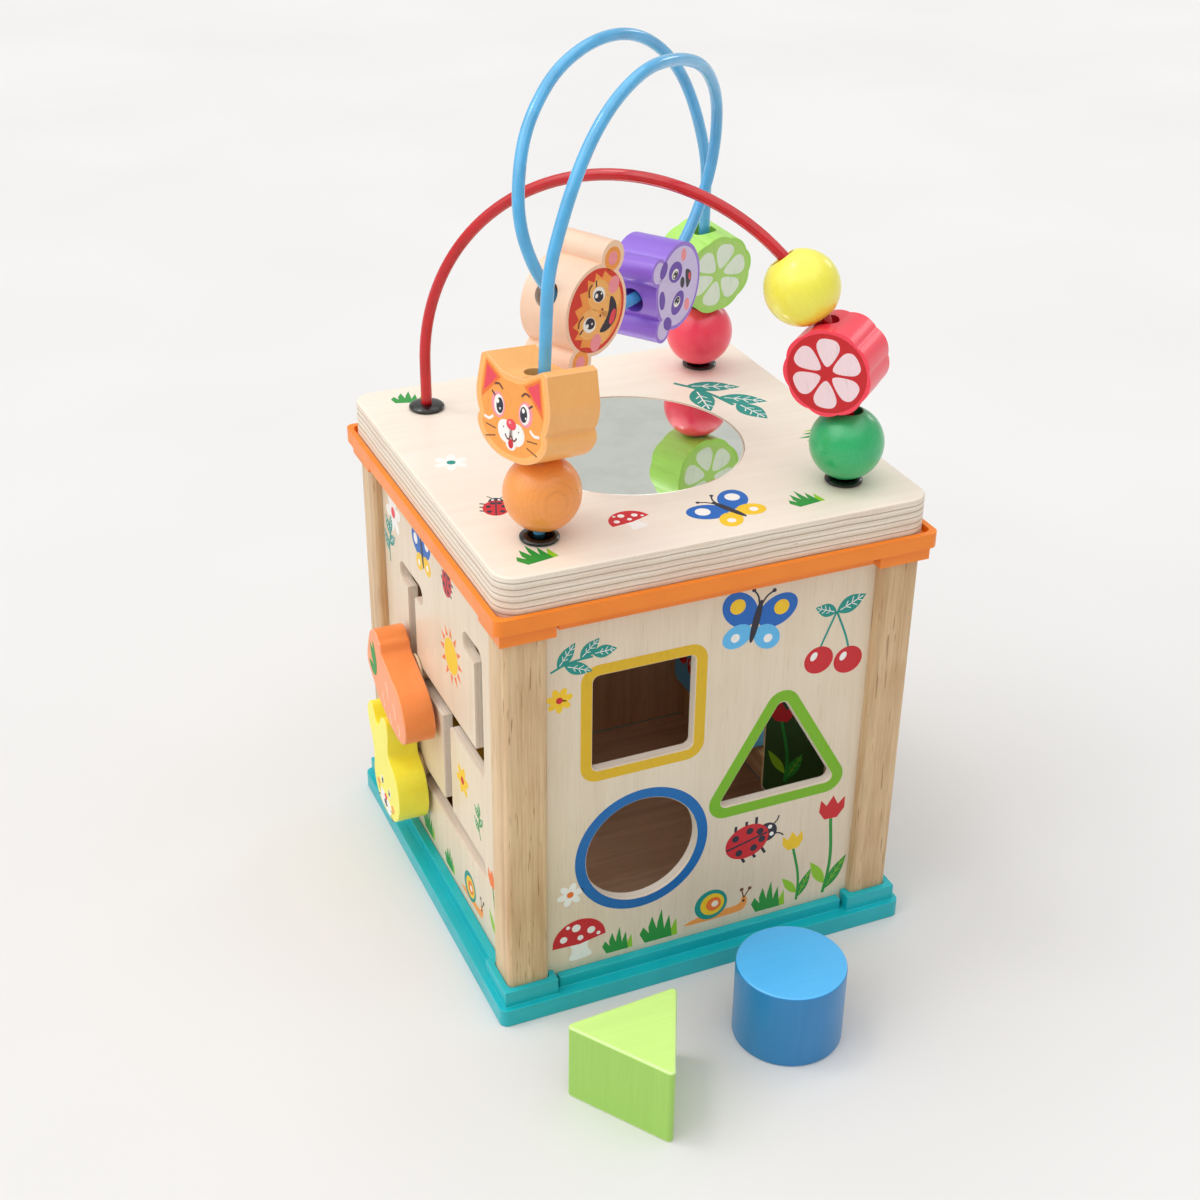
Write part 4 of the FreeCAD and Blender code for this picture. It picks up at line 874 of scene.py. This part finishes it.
BACK_MOTIFS = (
    (sun, (0, 138, 1.1)),
    (sprig, (-56, 136, 1.1, -2), "teal", "white", 4, 16),
    (butterfly, (42, 137, 1.2, 10), "rose", "pink", "yellow"),
    (tulip, (-48, 14, 1.4, 4), "red", 26),
    (tulip, (-35, 14, 1.1, -6), "yellow", 20),
    (mushroom, (40, 13, 1.5)),
    (ladybird, (2, 30, 1.5, 24)),
    (tuft, (-18, 13.5, 1.3)),
    (tuft, (18, 13.5, 1.2)),
    (tuft, (54, 13.5, 1.0)),
    (daisy, (-2, 100, 1.0), "white", "yellow", 6, 6),
)
BOARD_MOTIFS = (
    (broad_leaves, (38, 42, 1.2, -64), "teal", "white"),
    (broad_leaves, (14, 62, 0.8, 176), "lime", "green"),
    (butterfly, (10, -60, 1.35, 24), "blue", "yellow", "white"),
    (mushroom, (-22, -60, 0.9, 14)),
    (daisy, (-62, 8, 1.0), "white", "teal", 6, 6),
    (tuft, (-60, -69, 1.2, 10)),
    (tuft, (-60, 62, 1.1, -16)),
    (tuft, (36, -66, 1.1, 8)),
    (tuft, (68, -20, 1.1, 90)),
    (ladybird, (-60, -30, 0.95, 70)),
)


def cube_print(name, place, motifs, bands=None):
    """Bands and motifs on one face of the cube."""
    sheet = Print("print_" + name, "cube", "ply", place)
    if bands:
        bands(sheet)
    for motif, at, *more in motifs:
        motif(Pen(sheet, *at), *more)
    sheet.done()


def on_figure(x, y, h):
    return Vector((FIGURE_FRONT - h, -x, y))


def carrot_print():
    """A tuft of leaves at the thick end, and a few short creases along the root."""
    sheet = Print("carrot_print", "carrot_figure", "orange_paint", on_figure)
    leaves = ((-33, 82, 12, 126), (-34, 80, 8.5, 160), (-34, 80, 14, 98))
    for level, (x, y, length, turn) in enumerate(leaves):
        Pen(sheet, x, y).leaf("green", 0, 0, length, 4.4, turn, level)
    for x, y, width in ((-22, 84, 7), (-27, 77, 6), (-14, 79, 6), (-9, 73, 4.5), (-19, 72, 4)):
        Pen(sheet, x, y, 1.0, -70).stroke("cream", [(0, 0), (width / 2, 0.5), (width, 0.2)], 0.5)
    sheet.done()


def rabbit_print():
    """A plain face, low on the head."""
    sheet = Print("rabbit_print", "rabbit_figure", "yellow_paint", on_figure)
    pen = Pen(sheet, -30.0, 28.6, 1.0, -8)
    for side in (-1, 1):
        eye(pen, side * 4.4, 3.8, 1.5, -side, 1)
        pen.oval("white", side * 2.9, -4.2, 3.9, 3.5)
        pen.oval("tan", side * 8.6, -0.8, 1.9, 1.5)
        for k in (-1.0, 0.8):
            pen.stroke("brown", [(side * 6.0, -4.4 + k), (side * 8.8, -4.8 + k * 2.2)], 0.4, 1)
    pen.oval("rose", 0, -1.4, 1.6, 1.2, level=2)
    pen.stroke("brown", [(-2.2, -4.4), (-1.1, -5.2), (0, -4.0), (1.1, -5.2), (2.2, -4.4)], 0.5, 2)
    sheet.done()


def gear_prints():
    """Painted petals and a ring round the axle of each gear."""
    axles = {joint["child"]: joint["pos_m"] for joint in frame["joints"] if joint["type"] == "hinge"}
    for name, slot, petal, ring in GEAR_PRINTS:
        x0, _, z0 = (c / MM for c in axles["gear_" + name])

        def place(x, y, h, x0=x0, z0=z0):
            return Vector((x0 - x, GEAR_FACE + h, z0 + y))
        sheet = Print(f"gear_{name}_print", "gear_" + name, slot, place)
        outer, inner = GEAR_RING
        sheet.ring(ring, ellipse(0, 0, outer, count=64), ellipse(0, 0, inner, count=64))
        for k in range(6):
            sheet.fill(petal, ellipse(*polar(GEAR_PETALS_AT, 60 * k), 2.7, 1.9, 60 * k, 24))
        sheet.done()


def picture(sheet, kind):
    """One painted side of a turning block: a coloured ground with two or three motifs on it."""
    # The fourth ground is a very dark green, partly the picture's own green and partly painted shade. It is
    # darkened for the front block's side that shows through the triangle hole, in the shade inside the cube.
    # The same ground also comes round on one side of each other block.
    ground = ("sky", "cream", "yellow", "shaded_moss")[kind]
    (x0, y0), (x1, y1) = PICTURE_GROUND
    sheet.fill(ground, rounded_loop([(x0, y0), (x1, y0), (x1, y1), (x0, y1)], 2.4))
    if kind == 0:
        cherries(Pen(sheet, -0.6, 62, 0.85, 0, 1))
        cherries(Pen(sheet, 0.6, 100, 0.75, 4, 1), "rose", "green")
    elif kind == 1:
        for k, (petal, heart) in enumerate((("orange", "red"), ("rose", "yellow"), ("violet", "teal"))):
            daisy(Pen(sheet, 1.2 * (k - 1), 56 + 26 * k, 1.15, 20 * k, 1), petal, heart)
    elif kind == 2:
        butterfly(Pen(sheet, 0, 60, 0.95, 10, 1))
        butterfly(Pen(sheet, 0, 83, 0.8, -16, 1), "rose", "pink", "white")
        ladybird(Pen(sheet, 0, 108, 1.1, 80, 1))
    else:
        tulip(Pen(sheet, -3, 46, 1.25, 4, 1), "red", 22)
        tulip(Pen(sheet, 3, 84, 1.15, -6, 1), "orange", 20)


def picture_prints():
    """Four painted sides on each turning block, in another order on each."""
    def place(x, y, h):
        return Vector((PICTURE_HALF + h, x, y))
    for shift, (name, y0, turn) in enumerate(PICTURE_BLOCKS):
        for side in range(4):
            spin = Matrix.Rotation(math.radians(turn + 90 * side), 4, "Z")
            matrix = Matrix.Translation(Vector((PICTURE_ROD_X, y0, 0)) * MM) @ spin
            sheet = Print(f"block_{name}_side_{side}", "block_" + name, "picture_wood", place, matrix)
            picture(sheet, (side + shift) % 4)
            sheet.done()


# Beads
def bore_of(mesh, middle):
    """Direction of a bead's bore: square to two faces of the bore's wall."""
    near = sorted(mesh.polygons, key=lambda face: (face.center - middle).length)
    first, *wall = (face.normal for face in near[:BORE_FACES])
    second = min(wall, key=lambda normal: abs(normal.dot(first)))
    bore = first.cross(second).normalized()
    return bore if bore.dot(BORE_TOP) > 0 else -bore


def bead_matrix(node):
    """The bead's own axes, read from its mesh: z along the bore and -y out of its face."""
    reach, yaw = BEADS[node]
    mesh = frame["nodes"][node].data
    low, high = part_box(node)
    faced = Vector((math.cos(math.radians(yaw)), math.sin(math.radians(yaw)), 0))
    z_axis = bore_of(mesh, (Vector(low) + Vector(high)) / 2)
    y_axis = (z_axis * z_axis.dot(faced) - faced).normalized()
    axes = (y_axis.cross(z_axis), y_axis, z_axis)
    spans = [[axis.dot(corner.co) for corner in mesh.vertices] for axis in axes]
    x, y = ((min(span) + max(span)) / 2 for span in spans[:2])
    matrix = Matrix(axes).transposed().to_4x4()
    matrix.translation = matrix @ Vector((x, y, max(spans[2]) - reach * MM))
    return matrix


def face_print(node, draw, slot):
    """The same picture on both faces of a bead."""
    body = frame["nodes"][node]["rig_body"]
    for side, name in ((1, "front"), (-1, "back")):
        def place(x, y, h, side=side):
            return Vector((x * side, -side * (BEAD_HALF + h), y))
        sheet = Print(f"{node}_{name}_print", body, slot, place, bead_matrix(node))
        draw(sheet)
        sheet.done()


def eye(pen, x, y, r, look, level):
    """An eye with a pupil that looks to one side, and two glints."""
    pen.oval("white", x, y, r, r * 1.28, level=level)
    pen.oval("navy", x + look * r * 0.2, y - r * 0.06, r * 0.72, r * 0.98, level=level + 1)
    pen.oval("white", x - r * 0.26, y + r * 0.42, r * 0.3, level=level + 2)
    pen.oval("white", x + r * 0.26, y - r * 0.42, r * 0.15, level=level + 2)


def cat_face(sheet):
    pen = Pen(sheet, 0, 0)
    outline = [(0, 11.0), (5.2, 11.4), (13.8, 15.6), (15.6, 14.2), (17.4, 6.0), (17.1, 1.4), (15.6, -2.6),
               (16.3, -5.6), (14.4, -8.6), (10.2, -11.4), (4.8, -13.1), (0, -13.4)]
    outline += [(-x, y) for x, y in reversed(outline[1:-1])]
    loop = smooth_closed(outline, 4)
    pen.fill("honey", loop)
    pen.fill("ginger", [(x * 0.93, y * 0.93 + 0.1) for x, y in loop], 1)
    for side in (-1, 1):
        ear = ((6.0, 10.4), (13.8, 14.3), (15.8, 2.2), (10.6, 6.4))
        inner_ear = ((7.8, 10.3), (13.2, 13.0), (14.7, 4.6), (11.0, 7.4))
        pen.fill("orange", [(side * x, y) for x, y in ear], 2)
        pen.fill("rose", [(side * x, y) for x, y in inner_ear], 3)
        pen.oval("pink", side * 7.0, 1.8, 3.5, 4.0, side * -12, 2)
        eye(pen, side * 6.6, 1.8, 2.5, -side, 3)
        pen.stroke("brown", [(side * 4.8, 7.0), (side * 6.8, 8.3), (side * 9.0, 7.8)], 0.7, 3)
        pen.stroke("navy", [(side * 8.6, 4.2), (side * 10.4, 5.4)], 0.6, 3)
        pen.oval("white", side * 2.9, -5.6, 4.0, 3.5, side * 20, 3)
        pen.stroke("white", [(side * 9.4, -2.4), (side * 11.6, -3.6), (side * 14.2, -3.4)], 0.9, 3)
        for k in (-1.2, 1.0):
            pen.oval("brown", side * (3.4 + 0.5 * k), -5.4 + k, 0.28, level=4)
            pen.stroke("brown", [(side * 8.0, -7.0 + k), (side * 13.2, -7.4 + k * 1.8)], 0.35, 3)
    pen.oval("white", 0, -9.0, 2.6, 2.0, level=2)
    pen.oval("rose", 0, -2.9, 2.5, 1.7, level=4)
    pen.oval("pink", -0.7, -2.4, 0.8, 0.5, level=5)
    pen.stroke("brown", [(0, -4.4), (0, -6.4)], 0.45, 4)
    pen.stroke("brown", [(-3.0, -6.6), (-1.4, -7.8), (0, -6.4), (1.4, -7.8), (3.0, -6.6)], 0.55, 5)
    pen.oval("red", 0, -8.9, 1.3, 1.5, level=4)


def panda_face(sheet):
    pen = Pen(sheet, 0, 0)
    pen.oval("lilac", 0, 0, FACE_DISC)
    for side in (-1, 1):
        pen.oval("lilac", *polar(15.8, 90 + side * 42), 3.6)
        pen.oval("violet", side * 5.8, 1.2, 3.6, 4.6, side * -24, 1)
        pen.oval("violet", side * 10.0, 8.6, 3.0, 2.2, side * -46, 1)
        pen.oval("pink", side * 9.4, -4.8, 2.3, 1.7, level=1)
        eye(pen, side * 5.2, 1.6, 1.75, -side, 2)
    pen.oval("violet", 0, 11.0, 3.4, 1.9, level=1)
    pen.oval("navy", 0, -2.8, 2.0, 1.4, level=2)
    mouth = [(-3.2, -5.4), (3.2, -5.4), (2.2, -8.0), (0, -9.0), (-2.2, -8.0)]
    pen.fill("navy", smooth_closed(mouth), 2)
    pen.oval("rose", 0, -7.7, 1.4, 0.8, level=3)


def monkey_face(sheet):
    pen = Pen(sheet, 0, 0)
    pen.fill("rust", ellipse(0, 0, 13.7, count=48))
    hair = [(-11.8, -1.0), (-12.6, 2.4), (-10.2, 2.6), (-10.8, 6.4), (-8.0, 5.6), (-7.4, 9.2), (-4.6, 7.4),
            (-2.4, 10.6), (0, 7.8), (3.0, 10.8), (4.8, 7.4), (8.0, 9.0), (8.0, 5.4), (11.0, 6.0), (10.2, 2.4),
            (12.6, 2.0), (11.8, -1.0)]
    pen.fill("tan", hair + ellipse(0, -1.0, 11.8, 11.6, 0, 24, 0, -180)[1:-1], 1)
    for side in (-1, 1):
        pen.oval("tan", side * 17.0, 0, 3.9)
        pen.oval("pink", side * 17.2, 0, 2.2, level=1)
        pen.oval("honey", side * 4.8, 1.4, 5.0, 5.4, side * -10, 2)
        pen.oval("honey", side * 4.6, -5.2, 5.6, 5.0, side * 8, 3)
        pen.oval("pink", side * 9.6, -4.6, 2.9, 2.6, level=4)
        eye(pen, side * 5.0, 1.4, 2.5, -side, 4)
        pen.stroke("brown", [(side * 3.0, 5.6), (side * 5.2, 6.8), (side * 7.2, 6.2)], 0.7, 4)
        pen.stroke("navy", [(side * 7.0, 3.8), (side * 8.8, 4.8)], 0.6, 4)
        pen.oval("brown", side * 1.0, -2.6, 0.5, level=5)
    mouth = [(-5.8, -4.8), (0, -6.2), (5.8, -4.8), (4.4, -8.6), (0, -10.8), (-4.4, -8.6)]
    pen.fill("navy", smooth_closed(mouth), 5)
    pen.oval("rose", 0, -8.9, 2.6, 1.3, level=6)


def segments(sheet, flesh, r):
    """The six rounded wedges of a fruit slice."""
    wedge = smooth_closed([(0.2, 0.0), (0.66, -0.31), (0.93, -0.26), (1.0, 0.0), (0.93, 0.26), (0.66, 0.31)])
    for i in range(6):
        Pen(sheet, 0, 0, r, 60 * i + 12).fill(flesh, wedge, 1)


def red_slice_face(sheet):
    sheet.fill("red", ellipse(0, 0, FACE_DISC))
    segments(sheet, "pink_white", SLICE_FLESH)


def green_slice_face(sheet):
    sheet.fill("band_lime", ellipse(0, 0, FACE_DISC))
    segments(sheet, "mint_white", SLICE_FLESH)


def dress_beads():
    """Each bead with its stain and, on the flat ones, a picture on both faces."""
    jobs = (
        ("orange_ball", "orange_stain", "orange_paint", None),
        ("pink_ball", "pink_stain", "pink_paint", None),
        ("green_ball", "green_stain", "green_paint", None),
        ("yellow_ball", "yellow_stain", "yellow_paint", None),
        ("cat_bead", "cat_stain", "orange_paint", cat_face),
        ("panda_bead", "violet_stain", "violet_paint", panda_face),
        ("monkey_bead", "peach_stain", "peach_paint", monkey_face),
        ("red_slice", "red_stain", "red_paint", red_slice_face),
        ("green_slice", "lime_stain", "lime_paint", green_slice_face),
    )
    for node, look, slot, draw in jobs:
        width = BEAD_ROUNDING if draw else BALL_ROUNDING
        piece = softened(node, node + "_wood", width, [look], place=bead_matrix(node), sharp=28)
    for node, look, slot, draw in jobs:
        if draw:
            face_print(node, draw, slot)


# The cube, its sliders, gears and blocks
def edge_on(axis, outward=0):
    """Picks the second material off the two faces across an axis, and the third on the one looking inward."""
    def pick(face):
        if abs(face.normal[axis]) < 0.7:
            return 1
        return 2 if face.normal[axis] * outward < 0 else 0
    return pick


def on_bevel(face):
    """Picks the second material on the mirror's ground edge."""
    return 1 if 0.2 < face.normal.z < 0.95 else 0


def dress_cube():
    """Node, piece, rounding, materials, slot, and what picks among several materials."""
    jobs = (
        ("base_tray", "tray", 0.45, "teal_plastic", "teal_plastic"),
        ("top_rim", "rim", 0.4, "orange_plastic", "orange_plastic"),
        # The floor board and the inward faces of the panels take the bare ply that is darkened partly as
        # painted shade.
        ("floor_board", "floor_wood", 0.3, "raw_floor", "ply"),
        ("panel_front", "front_wood", 0.25, "veneer_upright panel_edge_front raw_inside", "ply",
         edge_on(1, -1)),
        ("panel_back", "back_wood", 0.25, "veneer_upright panel_edge_front raw_inside", "ply",
         edge_on(1, 1)),
        ("panel_left", "left_wood", 0.25, "veneer_upright panel_edge_side raw_inside", "ply",
         edge_on(0, -1)),
        ("panel_right", "right_wood", 0.25, "veneer_upright panel_edge_side raw_inside", "ply",
         edge_on(0, 1)),
        ("top_board", "board_wood", 0.0, "birch_face board_edge", "ply", edge_on(2)),
        ("mirror", "mirror_glass", 0.0, "mirror_face mirror_ground_edge", "mirror", on_bevel),
        ("wire_caps", "caps", 0.0, "black_plastic", "black_caps"),
        ("wire_nuts", "nuts", 0.2, "zinc_steel", "screw_steel"),
        ("red_wire", "red_rod", 0.0, "red_coat", "red_wire"),
        ("blue_wire", "blue_rod", 0.0, "blue_coat", "blue_wire"),
        ("rail_low", "rail_low_wood", 0.5, "rail_wood", "beech"),
        ("rail_high", "rail_high_wood", 0.5, "rail_wood", "beech"),
        ("picture_rods", "rods", 0.2, "zinc_steel", "screw_steel"),
        ("gear_axles", "axles", 0.0, "axle_wood", "beech"),
        ("base_screws", "tray_screws", 0.0, "zinc_steel", "screw_steel"),
        ("rim_screws", "rim_screw_set", 0.0, "zinc_steel", "screw_steel"),
        ("board_screws", "board_screw_set", 0.0, "zinc_steel", "screw_steel"),
        *((f"post_{end}_{side}", f"post_{end[0]}{side[0]}", 0.0, "pine_post", "beech")
          for end in ("front", "back") for side in ("left", "right")),
        ("carrot", "carrot_wood", 1.2, "carrot_paint", "orange_paint"),
        ("carrot_spool", "carrot_pin", 0.2, "axle_wood", "beech"),
        ("carrot_screw", "carrot_bolt", 0.0, "zinc_steel", "screw_steel"),
        ("rabbit", "rabbit_wood", 1.2, "rabbit_paint", "yellow_paint"),
        ("rabbit_spool", "rabbit_pin", 0.2, "axle_wood", "beech"),
        ("rabbit_screw", "rabbit_bolt", 0.0, "zinc_steel", "screw_steel"),
        # The prism and the cylinder wear a paler copy of their paint on the end faces and a darker copy on
        # the sides: painted light on top, painted shade on the sides.
        ("prism_block", "prism_wood", 0.8, "prism_end prism_paint", "lime_paint", edge_on(2)),
        ("cylinder_block", "cylinder_wood", 0.0, "cylinder_end cylinder_paint", "sky_paint", edge_on(2)),
        ("square_block", "square_wood", 0.0, "square_paint", "yellow_paint"),
        *((f"gear_{name}", f"gear_{name}_wood", 0.6, look, slot)
          for (name, slot, _, _), look in zip(GEAR_PRINTS, ("gear_red", "gear_yellow", "gear_green"))),
        *((f"picture_block_{name}", f"block_{name}_wood", 0.0, "block_wood", "picture_wood")
          for name, _, _ in PICTURE_BLOCKS),
    )
    for node, name, width, looks, slot, *pick in jobs:
        softened(node, name, width, looks.split(), *pick)


# Camera, light and floor. The camera stands where it was fitted to the photograph.
CAMERA_AT = (-0.2419, -0.5270, 0.4408)
CAMERA_AZIMUTH = -23.789
CAMERA_ELEVATION = 29.599
CAMERA_ROLL = 0.7
CAMERA_LENS = 54.74
SENSOR = 36.0

# Lamps: direction that each stands in, strength and how wide it looks, in degrees
LAMPS = (
    ("ceiling", (-0.1, -0.05, 1.0), 1.9, 100.0),
    ("window", (-0.8, 0.1, 0.62), 0.8, 62.0),
    ("glint_above", (-0.32, 0.25, 0.91), 0.3, 12.0),
    ("glint_behind", (0.86, 0.38, 0.34), 0.12, 12.0),
)
ROOM_LIGHT = (1.0, 0.995, 0.985, 1.0)
ROOM_STRENGTH = 0.35
BACKDROP = srgb(226, 226, 222)
BACKDROP_STRENGTH = 0.85
FLOOR_REACH = 6.0
FLOOR_RINGS = 12
FLOOR_SPOKES = 48
FLOOR_TINTS = (srgb(227, 226, 225), srgb(223, 222, 221))


def camera():
    az, el, roll = (math.radians(a) for a in (CAMERA_AZIMUTH, CAMERA_ELEVATION, CAMERA_ROLL))
    back = Vector((math.sin(az) * math.cos(el), -math.cos(az) * math.cos(el), math.sin(el)))
    flat_x = Vector((math.cos(az), math.sin(az), 0))
    flat_y = back.cross(flat_x)
    x_axis = flat_x * math.cos(roll) + flat_y * math.sin(roll)
    y_axis = flat_y * math.cos(roll) - flat_x * math.sin(roll)
    data = bpy.data.cameras.new("camera")
    data.lens = CAMERA_LENS
    data.sensor_width = SENSOR
    data.clip_start, data.clip_end = 0.01, 50.0
    seen = stand("camera", data)
    matrix = Matrix((x_axis, y_axis, back)).transposed().to_4x4()
    matrix.translation = Vector(CAMERA_AT)
    seen.matrix_world = matrix
    bpy.context.scene.camera = seen


def lamp(name, direction, strength, spread):
    data = bpy.data.lights.new(name, "SUN")
    data.energy = strength
    data.angle = math.radians(spread)
    made = stand(name, data)
    made.rotation_mode = "QUATERNION"
    made.rotation_quaternion = Vector(direction).to_track_quat("Z", "Y")


def light():
    """Soft lamps, an even room, and a backdrop of its own for what is seen or mirrored."""
    for name, direction, strength, spread in LAMPS:
        lamp(name, direction, strength, spread)
    world = bpy.data.worlds.new("studio")
    bpy.context.scene.world = world
    world.use_nodes = True
    tree = world.node_tree
    tree.nodes.clear()
    link = tree.links.new
    kinds = ("OutputWorld", "Background", "Background", "MixShader", "LightPath", "Math")
    out, room, seen, both, path, either = (tree.nodes.new("ShaderNode" + kind) for kind in kinds)
    either.operation = "MAXIMUM"
    link(path.outputs["Is Camera Ray"], either.inputs[0])
    link(path.outputs["Is Glossy Ray"], either.inputs[1])
    link(either.outputs[0], both.inputs[0])
    room.inputs["Color"].default_value = ROOM_LIGHT
    room.inputs["Strength"].default_value = ROOM_STRENGTH
    seen.inputs["Color"].default_value = BACKDROP
    seen.inputs["Strength"].default_value = BACKDROP_STRENGTH
    link(room.outputs[0], both.inputs[1])
    link(seen.outputs[0], both.inputs[2])
    link(both.outputs[0], out.inputs["Surface"])


def floor():
    """A wide plain disc."""
    bm = bmesh.new()
    middle = bm.verts.new((0, 0, 0))
    turns = [360 * k / FLOOR_SPOKES for k in range(FLOOR_SPOKES)]
    rows = []
    for i in range(1, FLOOR_RINGS + 1):
        r = FLOOR_REACH * (i / FLOOR_RINGS) ** 2
        rows.append([bm.verts.new((*polar(r, a), 0)) for a in turns])
    for k in range(FLOOR_SPOKES):
        j = (k + 1) % FLOOR_SPOKES
        bm.faces.new((middle, rows[0][k], rows[0][j]))
        for near, far in zip(rows, rows[1:]):
            bm.faces.new((near[k], far[k], far[j], near[j]))
    mesh = mesh_of("floor", bm)
    shader = Shader("floor_paint", 0.75)
    cloud = shader.noise(shader.mapped((0.004, 0.004, 0.004)), 1.0, 2.0)
    shader.colour(shader.mix(shader.ramp(cloud, 0.3, 0.7), *FLOOR_TINTS))
    mesh.materials.append(shader.material)
    stand("floor", mesh)


camera()
light()
floor()
dress_cube()
dress_beads()
cube_print("front", on_front, FRONT_MOTIFS, hole_bands)
cube_print("left", on_left, LEFT_MOTIFS)
cube_print("right", on_right, RIGHT_MOTIFS)
cube_print("back", on_back, BACK_MOTIFS)
cube_print("board", on_board, BOARD_MOTIFS)
carrot_print()
rabbit_print()
gear_prints()
picture_prints()

bpy.context.scene.view_settings.view_transform = "Standard"
